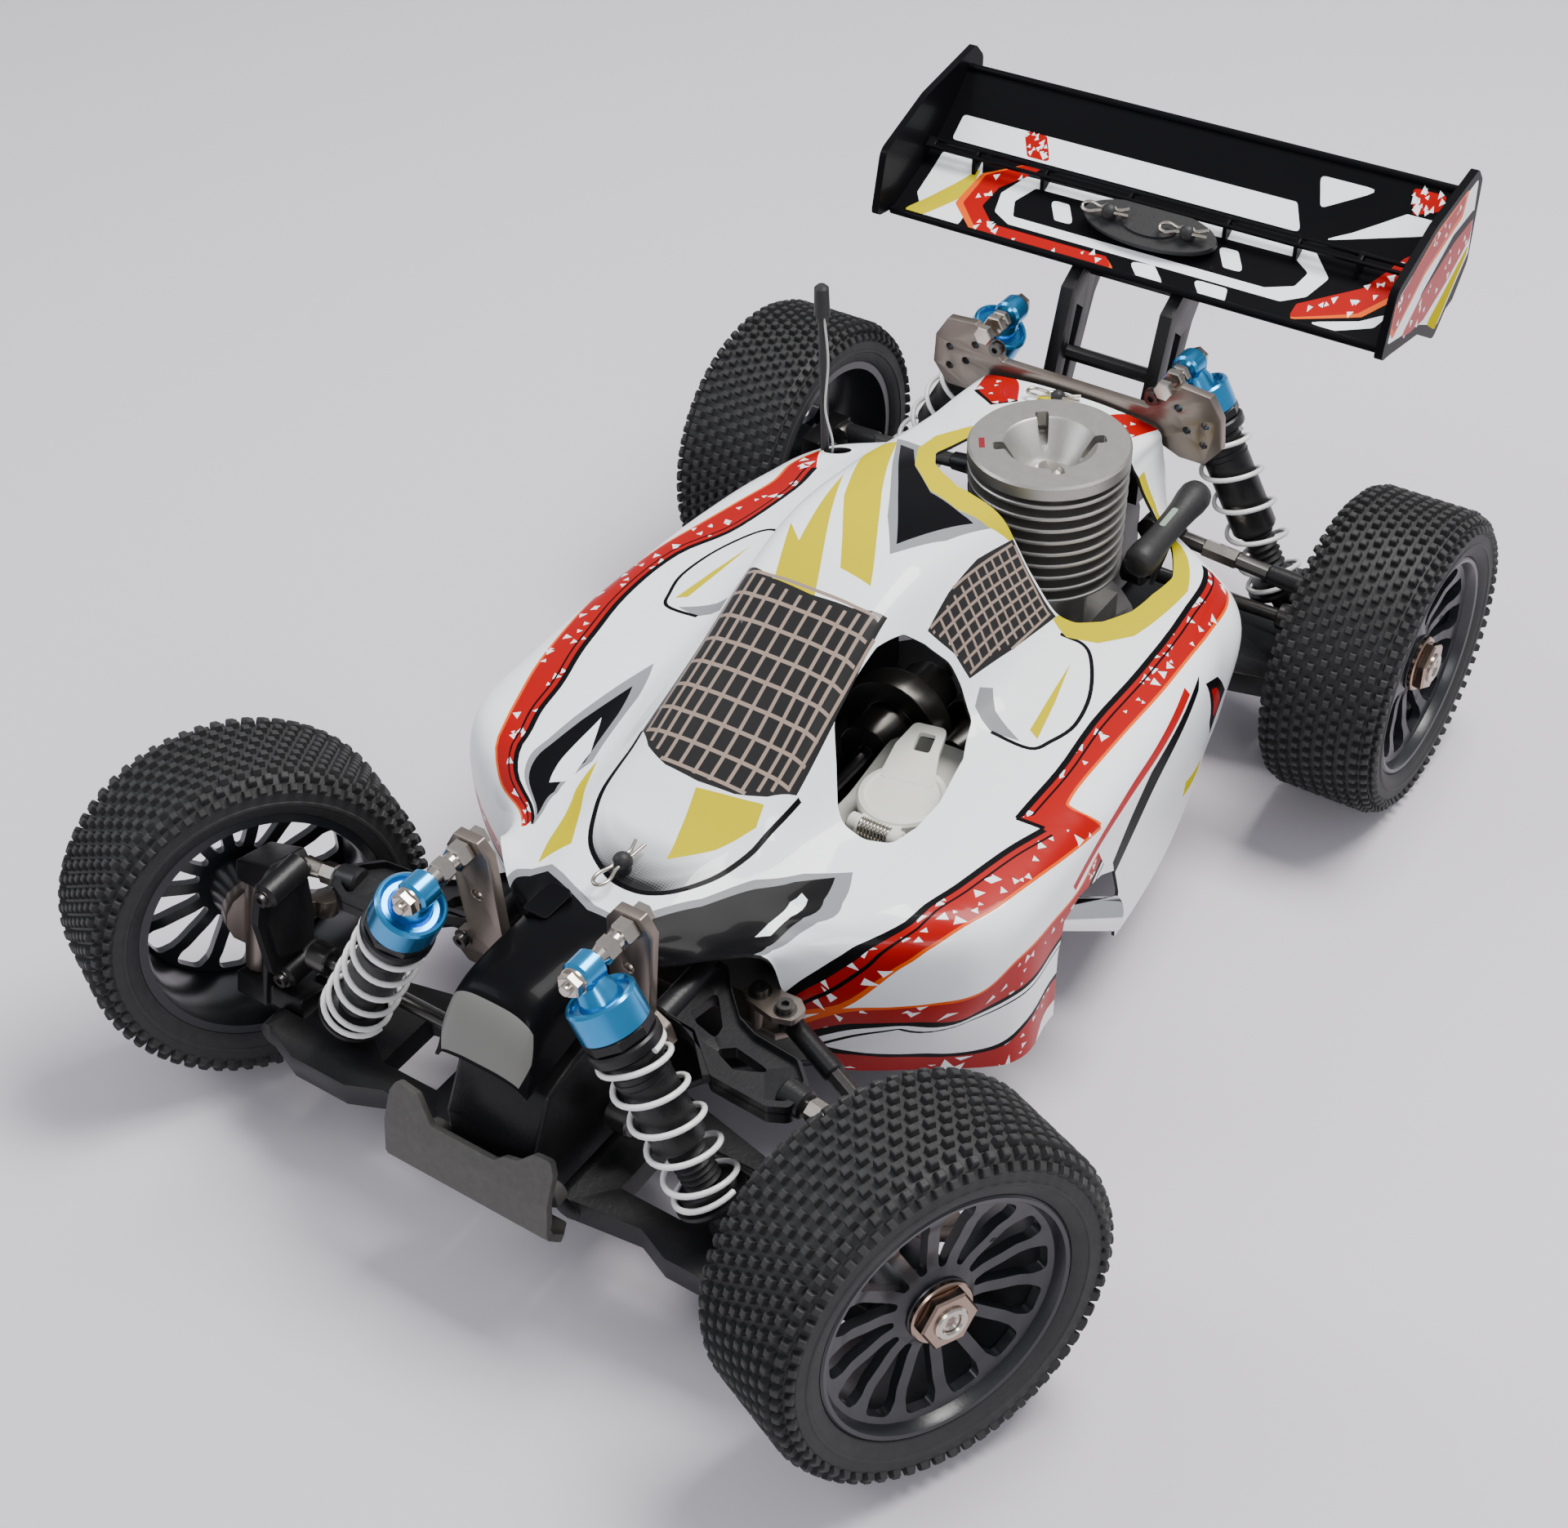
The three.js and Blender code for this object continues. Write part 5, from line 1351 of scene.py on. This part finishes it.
def build_tank_lid():
    form = Form().add(*lathe([(0, 86.6), (14.2, 86.6), (15.2, 87.4), (15.2, 89.6), (14.4, 90.6),
                              (12.6, 90.9), (11.8, 90.3), (6, 90.5), (0, 90.8)], 56), 0,
                              Matrix.Translation((43, -29, 0)))
    handle = rounded([(-10, -6), (9, -6), (6, 8), (5.6, 18), (-5.6, 18), (-9, 8)], 2.5, 5)
    loop = plate(handle, [rounded([(-2.9, 7), (2.9, 7), (2.9, 14.5), (-2.9, 14.5)], 1.2, 4)], -1, 1.1)
    form.add(*loop, 0, Matrix.Translation((40, -17.5, 90.8)) @ Matrix.Rotation(math.radians(12), 4, "Z")
             @ Matrix.Rotation(math.radians(14), 4, "X"))
    for x in (36.5, 51.5):
        form.add(*rod((x - 2.2, -47, 88.6), (x + 2.2, -47, 88.6), 3.4, 28, 0.6))
    form.add(*plate([(36, -48), (52, -48), (50, -38), (38, -38)], [], 87, 90))
    link_mesh("fuel_lid_moulding", form.mesh("lid"), tank_plastic(), "fuel_lid", 34,
              ["fuel_lid"])
    fittings = Form().add(*hexagon((33, -52, 78), (33, -52, 84), 6, 0.4))
    fittings.add(*rod((33, -52, 83), (33, -52, 89), 1.6, 16, 0.3))
    fittings.add(*rod((53, -47, 88.6), (55.4, -47, 88.6), 1.7, 20, 0.3))
    link_mesh("tank_fittings", fittings.mesh("fittings"), steel(), "chassis", 34)
    spring = Form().add(*sweep([(38.5 + 0.28 * i / 2, -47 + 2.9 * math.cos(i * 0.7),
                                 88.6 + 2.9 * math.sin(i * 0.7))
                                for i in range(90)], 0.35, 6))
    link_mesh("lid_spring", spring.mesh("lid_spring"), steel(), "fuel_lid", 60)


# ------------------------------------------------------------------ stage
def build_stage():
    half = 3.0
    mesh = bpy.data.meshes.new("floor")
    mesh.from_pydata([(-half, -half, 0), (half, -half, 0), (half, half, 0), (-half, half, 0)], [],
                     [(0, 1, 2, 3)])
    floor = bpy.data.objects.new("floor", mesh)
    bpy.context.scene.collection.objects.link(floor)
    mesh.materials.append(material("floor_paper", (0.63, 0.60, 0.645), 0.75, specular=0.2, mottle=0.01))
    world = bpy.data.worlds.new("studio")
    world.use_nodes = True
    world.node_tree.nodes["Background"].inputs["Color"].default_value = (0.90, 0.92, 1.0, 1)
    world.node_tree.nodes["Background"].inputs["Strength"].default_value = 0.60
    bpy.context.scene.world = world
    lamps = [
        ("key", (0.35, 0.45, 1.5), 0.9, 40, (1.0, 0.98, 0.95)),
        ("fill", (-1.1, -0.6, 1.1), 0.9, 9, (0.93, 0.96, 1.0)),
        ("rim", (0.9, -1.0, 0.9), 0.5, 5, (1.0, 1.0, 1.0)),
    ]
    for name, place, size, power, color in lamps:
        light = bpy.data.lights.new(name, "AREA")
        light.shape = "RECTANGLE"
        light.size = size
        light.size_y = size * 0.6
        light.energy = power
        light.color = color
        lamp = bpy.data.objects.new(name, light)
        lamp.matrix_world = aim(Vector(place), Vector(place) - Vector((0, 0, 0.05)))
        bpy.context.scene.collection.objects.link(lamp)


# ------------------------------------------------------------------ wing
WING_LINE = [(193, 158), (200, 160.2), (207, 163), (222, 170), (237, 180.5), (252, 193.5)]
WING_HALF, WING_THICK = 101.3, 1.9
END_PLATE = [(184, 159), (192, 158), (218, 153), (236, 142, 4), (245, 150, 3), (251, 151), (261, 162, 5),
             (262.5, 194, 4), (257, 200, 2), (221, 194, 6), (191, 183, 6)]
WING_COLORS = ["black", "white", "red", "orange", "yellow", "grey"]
WING_KIND = {name: i for i, name in enumerate(WING_COLORS)}
SHARD_SIZE = 2.2
# The strip over the wing: its slots from side to side, and the ribs that hold it up.
STRIP_SLOTS = ((-97, -80), (-78, -50), (-48, -14), (-12, 26), (28, 54), (56, 78), (80, 97))
STRIP_RIBS = (-79, -49, -13, 27, 55, 79)
PLATE_X, PLATE_THICK, LIP_HALF = 104.4, 3.0, 101
# Painted shapes on the wing's upper face as (x, distance back from the leading edge) outlines.
WING_SHAPES = [
    ("white", [(-95, 50), (-95, 39), (52, 39), (46, 50)]),
    ("white", [(-88, 2), (-96, 12), (-96, 33), (-78, 33), (-73, 22), (-72, 2)]),
    ("yellow", [(-97, 2), (-88, 2), (-74, 20), (-70, 27), (-77, 24), (-77, 31), (-84, 20)]),
    ("orange", [(-62, 36), (-76, 28), (-79, 12), (-66, 1), (-4, 1), (-10, 6), (-60, 6), (-70, 14),
                (-68, 25), (-56, 36)]),
    ("red", [(-60, 37), (-74, 28), (-76, 13), (-64, 2), (-6, 2), (-11, 7), (-60, 7), (-68, 14), (-66, 24),
             (-53, 37)]),
    ("red", [(-68, 50), (-62, 40), (-52, 40), (-58, 50)]),
    ("white", [(-58, 32), (-64, 22), (-62, 13), (-54, 9), (58, 9), (66, 14), (70, 24), (60, 34), (40, 33)]),
    ("black", [(-52, 28), (-57, 20), (-54, 13), (50, 13), (60, 17), (62, 24), (54, 29)]),
    ("white", [(-44, 25), (-38, 16.5), (-30, 16.5), (-36, 25)]),
    ("white", [(26, 25), (32, 16.5), (40, 16.5), (34, 25)]),
    ("white", [(-2, 8), (4, 2), (16, 1), (8, 9)]),
    ("white", [(24, 8), (30, 1), (40, 1), (38, 8)]),
    ("white", [(50, 62), (55, 50), (74, 62)]),
    ("white", [(60, 38), (96, 50), (97, 56), (86, 56), (70, 44)]),
    ("orange", [(64, 2), (88, 12), (98, 26), (98, 40), (90, 37), (84, 22), (66, 8)]),
    ("red", [(64, 3), (86, 13), (96, 27), (97, 44), (92, 40), (83, 24), (64, 10)]),
    ("red", [(84, 66), (88, 56), (97, 60), (97, 66)]),
    ("white", [(82, 3), (94, 9), (97, 17), (88, 10), (70, 3)]),
    ("black", [(84, 1), (99, 1), (99, 16), (93, 8)]),
]
PLATE_SHAPES = [
    ("white", [(188, 164), (194, 180), (224, 191), (258, 196), (260, 166), (238, 147), (218, 157)]),
    ("orange", [(191, 178), (222, 191.5), (250, 196), (247, 186), (216, 178), (192, 164), (189, 168)]),
    ("red", [(192, 179), (222, 190), (248, 195), (245, 188), (216, 180), (193, 166), (190, 170)]),
    ("black", [(214, 170), (240, 182), (259, 184), (259, 178), (242, 174), (222, 162)]),
    ("red", [(200, 160), (216, 170), (242, 178), (259, 180), (259, 172), (240, 163), (222, 157), (210, 158)]),
    ("yellow", [(226, 153), (236, 146), (258, 166), (259, 170), (240, 160)]),
]
RIGHT_PLATE_PATCH = [(226, 153), (236, 146), (252, 160), (240, 162)]


def wing_path():
    """The curve of the wing's upper face from its leading edge back."""
    return smooth_path([(0, y, z) for y, z in WING_LINE], 8)


def wing_at(x, back):
    """A point on the wing's upper face: how far across and how far back along its curve."""
    path = wing_path()
    for here, ahead in zip(path, path[1:]):
        step = (ahead - here).length
        if back <= step:
            spot = here.lerp(ahead, back / step)
            return Vector((x, spot.y, spot.z))
        back -= step
    return Vector((x, path[-1].y, path[-1].z))


def plane_shards(loop, amount, seed):
    """Small random triangles inside a loop, for the white flecks in the red paint."""
    chance = random.Random(seed)
    xs, ys = [p[0] for p in loop], [p[1] for p in loop]
    made = []
    while len(made) < amount:
        x, y = chance.uniform(min(xs), max(xs)), chance.uniform(min(ys), max(ys))
        if inside((x, y), loop):
            turn, reach = chance.uniform(0, 6.3), SHARD_SIZE * chance.uniform(0.4, 1)
            made.append([(x + reach * math.cos(turn + 2.1 * k) * chance.uniform(0.5, 1),
                          y + reach * math.sin(turn + 2.1 * k)) for k in range(3)])
    return made


def wing_layers(shapes, seed):
    layers = []
    for number, (name, loop) in enumerate(shapes):
        layers.append((WING_KIND[name], rounded(loop, 1.6, 3)))
        if name == "red":
            layers += [(WING_KIND["white"], shard) for shard in plane_shards(loop, 16, seed + number)]
    return layers


def build_wing():
    path = wing_path()
    depth = sum((ahead - here).length for here, ahead in zip(path, path[1:]))
    outline = [(-WING_HALF, 0), (WING_HALF, 0), (WING_HALF, depth), (-WING_HALF, depth)]
    flat, triangles, kinds = paint_sheet(outline, [], wing_layers(WING_SHAPES, 20), 4.0)
    form = Form()
    add_skin(form, [wing_at(x, back) for x, back in flat], triangles, kinds, WING_THICK, WING_KIND["black"])
    for sign in (-1, 1):
        outer = rounded(END_PLATE, 2.5, 4)
        layers = wing_layers(PLATE_SHAPES, 40) if sign > 0 else [(WING_KIND["yellow"], RIGHT_PLATE_PATCH)]
        flat, triangles, kinds = paint_sheet(outer, [], layers, 3.5)
        if sign < 0:
            triangles = triangles[:, ::-1]
        add_skin(form, [Vector((sign * PLATE_X, y, z)) for y, z in flat], triangles, kinds, PLATE_THICK,
                 WING_KIND["black"])
    link_mesh("rear_wing_skin", form.mesh("wing"), [painted(name) for name in WING_COLORS], "chassis",
              40, ["rear_wing"])
    lips = Form().add(*sweep([(x, *tuple(wing_at(0, 0.4))[1:]) for x in (-LIP_HALF, 0, LIP_HALF)], 1.5, 12))
    lips.add(*sweep([(x, *tuple(wing_at(0, depth - 0.4))[1:]) for x in (-LIP_HALF, 0, LIP_HALF)], 1.5, 12))
    # the slotted strip that stands over the wing on short ribs
    slots = [[(start, 1.3), (end, 1.3), (end, 3.5), (start, 3.5)] for start, end in STRIP_SLOTS]
    tilt = Matrix.Translation((0, 218, 174)) @ Matrix.Rotation(math.radians(27), 4, "X")
    lips.add(*plate([(-LIP_HALF, 0), (LIP_HALF, 0), (LIP_HALF, 4.8), (-LIP_HALF, 4.8)], slots, -0.7, 0.7),
             0, tilt)
    for x in STRIP_RIBS:
        lips.add(*plate([(217.6, 167), (223, 170), (222.6, 176.6), (217.8, 174.4)], [], -0.8, 0.8), 0,
                 Matrix.Translation((x, 0, 0)) @ SIDE)
    blade = link_mesh("rear_wing_blade", lips.mesh("blade"), FINISHES["wing_plastic"](), "chassis",
                      35)
    soften(blade, 0.25, 2, 40)


def build_retainer():
    slope = math.atan2(17.5, 30)
    turn = Matrix.Translation((0, 212, 169.3)) @ Matrix.Rotation(slope, 4, "X")
    oval = [(27 * math.cos(a), 8.8 * math.sin(a)) for a in np.linspace(0, 2 * math.pi, 56, endpoint=False)]
    form = Form().add(*plate(oval, [], -1.2, 1.4), 0, turn)
    form.add(*plate([(x * 0.42, y * 0.55) for x, y in oval], [], 1, 2.2), 0, turn)
    for x in (-16, 16):
        form.add(*ball((x, 0, 3.6), 3.1, 24, 12), 0, turn)
        form.add(*rod((x, 0, 0), (x, 0, 3), 2.3, 24), 0, turn)
    link_mesh("wing_retainer_oval", form.mesh("retainer"), matt_nylon(), "chassis", 35,
              ["wing_retainer"])
    for number, x in enumerate((-16, 16)):
        clip = body_clip(turn @ Matrix.Translation((x, 0, 4.6)) @ Matrix.Rotation(math.radians(4), 4, "Z"),
                         0.85)
        link_mesh(f"wing_clip_{number}", clip.mesh("clip"), steel(), "chassis", 60)


BUMPER_PATH = [(-197, 69), (-203, 56.5), (-205, 43), (-200, 37), (-192, 31)]
BUMPER_HALF, BUMPER_THICK = 31, 2.6


def build_bumper():
    """A folded plate with a dip in its top edge; flat shape first, then bent along its side profile."""
    path = [Vector((0, y, z)) for y, z in BUMPER_PATH]
    stops = [0.0]
    for here, ahead in zip(path, path[1:]):
        stops.append(stops[-1] + (ahead - here).length)
    half = BUMPER_HALF
    outline = rounded([(-half + 2, 0), (-21, 1), (-14, 8.6), (10, 8.6), (13, 6), (18, 5), (23, 0.5),
                       (half - 2, 0), (half, 4), (half, stops[-1] - 9), (half - 5, stops[-1]),
                       (-half + 5, stops[-1]), (-half, stops[-1] - 9), (-half, 4)], 2, 4)
    points, faces = plate(outline, [], 0, BUMPER_THICK, 2.4, True)

    def bent(x, reach, depth):
        i = max(0, min(len(path) - 2, bisect_right(stops, reach) - 1))
        t = (reach - stops[i]) / (stops[i + 1] - stops[i])
        spot, along = path[i].lerp(path[i + 1], t), (path[i + 1] - path[i]).normalized()
        before = (path[max(i, 1)] - path[max(i, 1) - 1]).normalized()
        after = (path[min(i + 2, len(path) - 1)] - path[min(i + 1, len(path) - 2)]).normalized()
        blend = (before.lerp(along, min(1, t * 2)) if t < 0.5 else along.lerp(after, t * 2 - 1)).normalized()
        inward = Vector((0, -blend.z, blend.y))
        return Vector((x, spot.y, spot.z)) + inward * depth

    form = Form().add([bent(*point) for point in points], faces)
    for x in (-22, 22):
        form.add(*rod((x, -193, 44), (x, -188, 44), 4, 20, 0.5))
    piece = link_mesh("front_bumper_folded", form.mesh("bumper"), bumper_plastic(), "chassis",
                      24, ["front_bumper"])
    soften(piece, 0.5, 2, 30)


def bumper_plastic():
    return material("bumper_plastic", (0.075, 0.072, 0.067), 0.6, specular=0.3, mottle=0.25, bump=0.5,
                    rough_spread=0.05)


UPPER_ARM = [(33, -147), (33, -121.5), (39.5, -121.5), (45, -128), (54, -136.5), (62, -139.8), (79, -141.5),
             (86, -148), (86, -158), (80, -161), (60, -160), (46, -148)]
UPPER_ARM_HOLES = [[(39.5, -141), (41.5, -130), (51, -141), (52, -146), (44, -144)],
                   [(54, -149.5), (59, -145.5), (74, -148), (63, -153)]]
UPPER_ARM_RIB = [(33, -147), (39, -147), (62, -158), (58, -161), (46, -149)]


def build_upper_arms():
    for side, sign in SIDES:
        flip = Matrix.Scale(sign, 4, (1, 0, 0))
        holes = [rounded(hole, 1.6, 4) for hole in UPPER_ARM_HOLES]
        form = Form()
        edge = [(x, y) for x, y in rounded(UPPER_ARM, 3, 5)]
        rim_in = [(x + (60 - x) * 0.08, y + (-143 - y) * 0.10) for x, y in edge]
        parts = [plate(edge, holes, 83, 87.4), plate(UPPER_ARM_RIB, [], 86, 89.5)]
        parts.append(plate(edge, [rim_in], 86.5, 89.8))
        parts.append(rod((33, -147.5, 86.5), (33, -120.5, 86.5), 4.4, 24, 0.6))
        parts.append(rod((80, -151.5, 86.5), (88.5, -152.5, 86.5), 5.2, 28, 0.8, 4.6))
        for points, faces in parts:
            if sign < 0:
                faces = [tuple(reversed(face)) for face in faces]
            form.add(points, faces, 0, flip)
        piece = link_mesh(f"upper_arm_front_{side}_moulding", form.mesh("upper_arm"), nylon(),
                          f"upper_front_{side}", 32, [f"upper_arm_front_{side}"])
        soften(piece, 0.6, 2, 40)


CHEEK = [(-175, 54), (-176.5, 77), (-173, 87), (-165, 92), (-157, 89), (-153, 79), (-153.5, 63), (-158, 49),
         (-169, 46)]
CHEEK_BOSS = [(-172, 60), (-173, 76), (-168, 83), (-160, 81), (-157, 66), (-161, 55)]


def build_carriers():
    for side, sign in SIDES:
        refine(f"hub_carrier_front_{side}", 2.4)
        flip = Matrix.Scale(sign, 4, (1, 0, 0))
        form = Form()
        parts = [(plate(rounded(CHEEK, 5, 6), [], 102.8, 105.6), SIDE),
                 (plate(rounded(CHEEK_BOSS, 3, 5), [], 101.2, 103), SIDE),
                 (rod((101.5, -173, 87), (101.5, -155, 88), 4.6, 28, 1.2), Matrix.Identity(4)),
                 (rod((102.5, -172, 50), (102.5, -155, 50), 4.4, 28, 1.2), Matrix.Identity(4))]
        for (points, faces), turn in parts:
            form.add(points, [tuple(reversed(face)) for face in faces] if sign < 0 else faces, 0, flip @ turn)
        piece = link_mesh(f"carrier_cheek_{side}", form.mesh("cheek"), nylon(), f"carrier_front_{side}",
                          32)
        soften(piece, 0.9, 3, 40)
        screws = Form()
        cap_screw(screws, (sign * 101.5, -173, 87), (0, -1, 0), 2.5, 1.8)
        cap_screw(screws, (sign * 102.5, -172, 50), (0, -1, 0), 2.5, 1.8)
        link_mesh(f"carrier_screws_{side}", screws.mesh("screws"), dark_screw(), f"carrier_front_{side}",
                  30)


def build_exhaust_tip():
    start, end = Vector((85, -33, 62)), Vector((111, -7, 54.5))
    length = (end - start).length
    tube = lathe([(4.5, 10), (5.8, 10), (5.8, length - 0.5), (5.5, length), (4.8, length),
                  (4.5, length - 0.5)], 48, True)
    form = Form().add(*tube, 0, aim(start, end - start))
    link_mesh("exhaust_tip", form.mesh("tip"), chrome(), "chassis", 40)


# ------------------------------------------------------------------ clips, posts, screws and links
def body_clip(turn, size=1.0):
    """An R-shaped wire clip lying flat, its eye towards -X."""
    path = smooth_path([(9, 2.2, 0.3), (4, 0.6, 0.2), (1.5, 2, 0.2), (-1.5, 2.2, 0.2), (-4, 0.8, 0.2),
                        (-8.5, 2.3, 0), (-11.5, 1.8, 0), (-12.6, 0, 0), (-11.5, -1.8, 0), (-8.5, -2.3, 0),
                        (-4, -0.9, -0.1), (1, -1, -0.1), (9.5, -1, -0.1)], 6)
    return Form().add(*sweep([tuple(p * size) for p in path], 0.65, 8), 0, turn)


def cap_screw(form, centre, along, radius=2.8, high=2.6):
    """A round screw head with a hex socket."""
    turn = aim(centre, along)
    socket = [(radius * 0.5 * math.cos(k * math.pi / 3),
               radius * 0.5 * math.sin(k * math.pi / 3)) for k in range(6)]
    form.add(*plate(ring((0, 0), radius, 24), [socket], 0, high), 0, turn)
    form.add(*lathe([(0, 0), (radius * 0.8, 0), (radius * 0.8, high * 0.4), (0, high * 0.4)], 16), 0, turn)
    form.add(*lathe([(0, -0.3), (radius * 1.35, -0.3), (radius * 1.35, 0.25), (0, 0.25)], 24), 0, turn)


def build_nose_fittings():
    peak = shell_at(0, -119)
    post = Form().add(*rod(peak - Vector((0, 0, 2)), peak + Vector((0, 0, 2)), 2.6, 24))
    post.add(*ball(peak + Vector((0, 0, 3.6)), 3.2, 28, 14))
    link_mesh("nose_post", post.mesh("post"), matt_nylon(), "chassis", 40)
    turn = Matrix.Translation(peak + Vector((0, 0, 4))) @ Matrix.Rotation(math.radians(87), 4, "Z")
    link_mesh("nose_clip", body_clip(turn).mesh("clip"), steel(), "chassis", 60)
    deck = shell_at(0, 145)
    peg = Form().add(*rod(deck - Vector((0, 0, 2)), deck + Vector((0, 0, 2.2)), 2.2, 24))
    peg.add(*ball(deck + Vector((0, 0, 3)), 2.6, 24, 12))
    link_mesh("deck_post", peg.mesh("peg"), matt_nylon(), "chassis", 40)
    turn = Matrix.Translation(deck + Vector((0, 0, 3.4))) @ Matrix.Rotation(math.radians(12), 4, "Z")
    link_mesh("deck_clip", body_clip(turn, 0.9).mesh("clip"), steel(), "chassis", 60)
    bump = Form().add(*plate(rounded([(-14.5, -150), (-5.5, -150), (-5.5, -136), (-14.5, -136)], 2, 4), [],
                             100, lambda x, y: 109.6 - 0.12 * (x + 10) ** 2 * 0.4))
    raised = link_mesh("nose_bump", bump.mesh("bump"), painted("black"), "chassis",
                       50)
    soften(raised, 0.9, 3)


# Where each tie rod begins and ends, inner end first.
TIE_RODS = {"left": ((52, -112, 68), (129, -143, 60)), "right": ((-30, -112, 68), (-107, -142, 60))}


def build_turnbuckles():
    for side, sign in SIDES:
        body = f"upper_front_{side}"
        inner, outer = Vector((sign * 86.5, -152.3, 86.5)), Vector((sign * 101, -154, 86.5))
        span = outer - inner
        form = Form().add(*rod(inner, inner + span * 0.5, 2.2, 20, 0.3))
        form.add(*hexagon(inner + span * 0.18, inner + span * 0.55, 6.4, 0.5))
        form.add(*rod(inner + span * 0.5, outer, 2.6, 20, 0.4, 3.4))
        link_mesh(f"turnbuckle_front_{side}", form.mesh("turnbuckle"), steel(), body, 30)
        link = Form().add(*hexagon((sign * 58, 157, 80.3), (sign * 72, 157, 79.2), 6.4, 0.5))
        link_mesh(f"turnbuckle_rear_{side}", link.mesh("turnbuckle"), steel(), f"upper_rear_{side}",
                  30)
        ends = Form().add(*rod((sign * 38.5, 157, 82), (sign * 50, 157, 81), 4.1, 24, 0.8, 3.6))
        ends.add(*rod((sign * 84, 157, 78.3), (sign * 98.5, 157, 77.2), 3.6, 24, 0.8, 4.1))
        link_mesh(f"rod_ends_rear_{side}", ends.mesh("rod_ends"), nylon(), f"upper_rear_{side}",
                  30)
        tie_low, tie_high = Vector(TIE_RODS[side][0]), Vector(TIE_RODS[side][1])
        rod_end = Form().add(*rod(tie_low.lerp(tie_high, 0.03), tie_low.lerp(tie_high, 0.34), 3.3, 24, 0.8,
                                  3.6))
        rod_end.add(*ball(tie_low.lerp(tie_high, 0.05), 3.9, 24, 12))
        link_mesh(f"tie_rod_end_{side}", rod_end.mesh("rod_end"), nylon(), f"tie_rod_{side}",
                  30)


# Where the steering plate holds the left and the right tie rod, across the car.
STEERING_ENDS = (51, -29)


def build_screws():
    chassis = Form()
    for _, sign in SIDES:
        cap_screw(chassis, (sign * 36.5, -153.7, 88), (0, -1, 0), 2.4, 2.2)
        cap_screw(chassis, (sign * 32.2, 157.8, 136), (0, -1, 0), 2.6, 2.4)
        cap_screw(chassis, (sign * 20, 157.8, 121), (0, -1, 0), 2.4, 2.2)
        cap_screw(chassis, (sign * 23.2, 190, 110), (sign, 0, 0), 2.6, 2.2)
        cap_screw(chassis, (sign * 23.2, 210, 155), (sign, 0, 0), 2.6, 2.2)
    link_mesh("chassis_screws", chassis.mesh("screws"), dark_screw(), "chassis", 30)
    plate_screws = Form()
    clamps = Form()
    for x, sign in zip(STEERING_ENDS, (1, -1)):
        clamp = rounded([(x - 10 * sign, -117), (x - 8 * sign, -111.5), (x + 7 * sign, -110.8),
                         (x + 11 * sign, -114), (x + 10 * sign, -120), (x + 4 * sign, -122),
                         (x - 6 * sign, -120)][::sign], 2, 4)
        clamps.add(*plate(clamp, [], 74.4, 76.6))
        clamps.add(*rod((x - 6 * sign, -115, 62), (x - 6 * sign, -115, 75), 2.6, 20, 0.2))
        cap_screw(plate_screws, (x - 5 * sign, -115, 76.5), (0, 0, 1), 2.7, 2.6)
        cap_screw(plate_screws, (x + 5.5 * sign, -117, 76.5), (0, 0, 1), 2.7, 2.6)
    clamp_piece = link_mesh("steering_clamps", clamps.mesh("clamps"), bronze(), "steering_link",
                            30)
    soften(clamp_piece, 0.4, 2, 40)
    link_mesh("steering_screws", plate_screws.mesh("screws"), dark_screw(), "steering_link", 30)


def build_driveshafts():
    for side, sign in SIDES:
        for end, y in (("front", -162.5), ("rear", 162.5)):
            inner, outer = (sign * 24.5, y, 56), (sign * (96 if end == "front" else 98), y, 57)
            form = Form().add(*rod(inner, outer, 2.6, 24, 0.3))
            form.add(*rod(inner, (sign * 33, y, 56), 6, 28, 0.6))
            form.add(*rod((sign * 88, y, 57), outer, 5, 28, 0.6))
            link_mesh(f"driveshaft_{end}_{side}", form.mesh("driveshaft"), dark_screw(),
                      f"arm_{end}_{side}", 30)


make_camera()
build_stage()
build_shell()
for node, size in ROUNDED_NODES.items():
    refine(node, size)
for side, sign in SIDES:
    for end in ("front", "rear"):
        place = wheel_frame(end, side, sign)
        build_tyre(end, side, place)
        build_rim(end, side, place)
        build_shock(end, side, sign)
build_head()
build_grip()
build_antenna()
build_tank()
build_tank_lid()
build_bumper()
build_upper_arms()
build_carriers()
build_exhaust_tip()
build_wing()
build_retainer()
build_nose_fittings()
build_turnbuckles()
build_screws()
build_driveshafts()
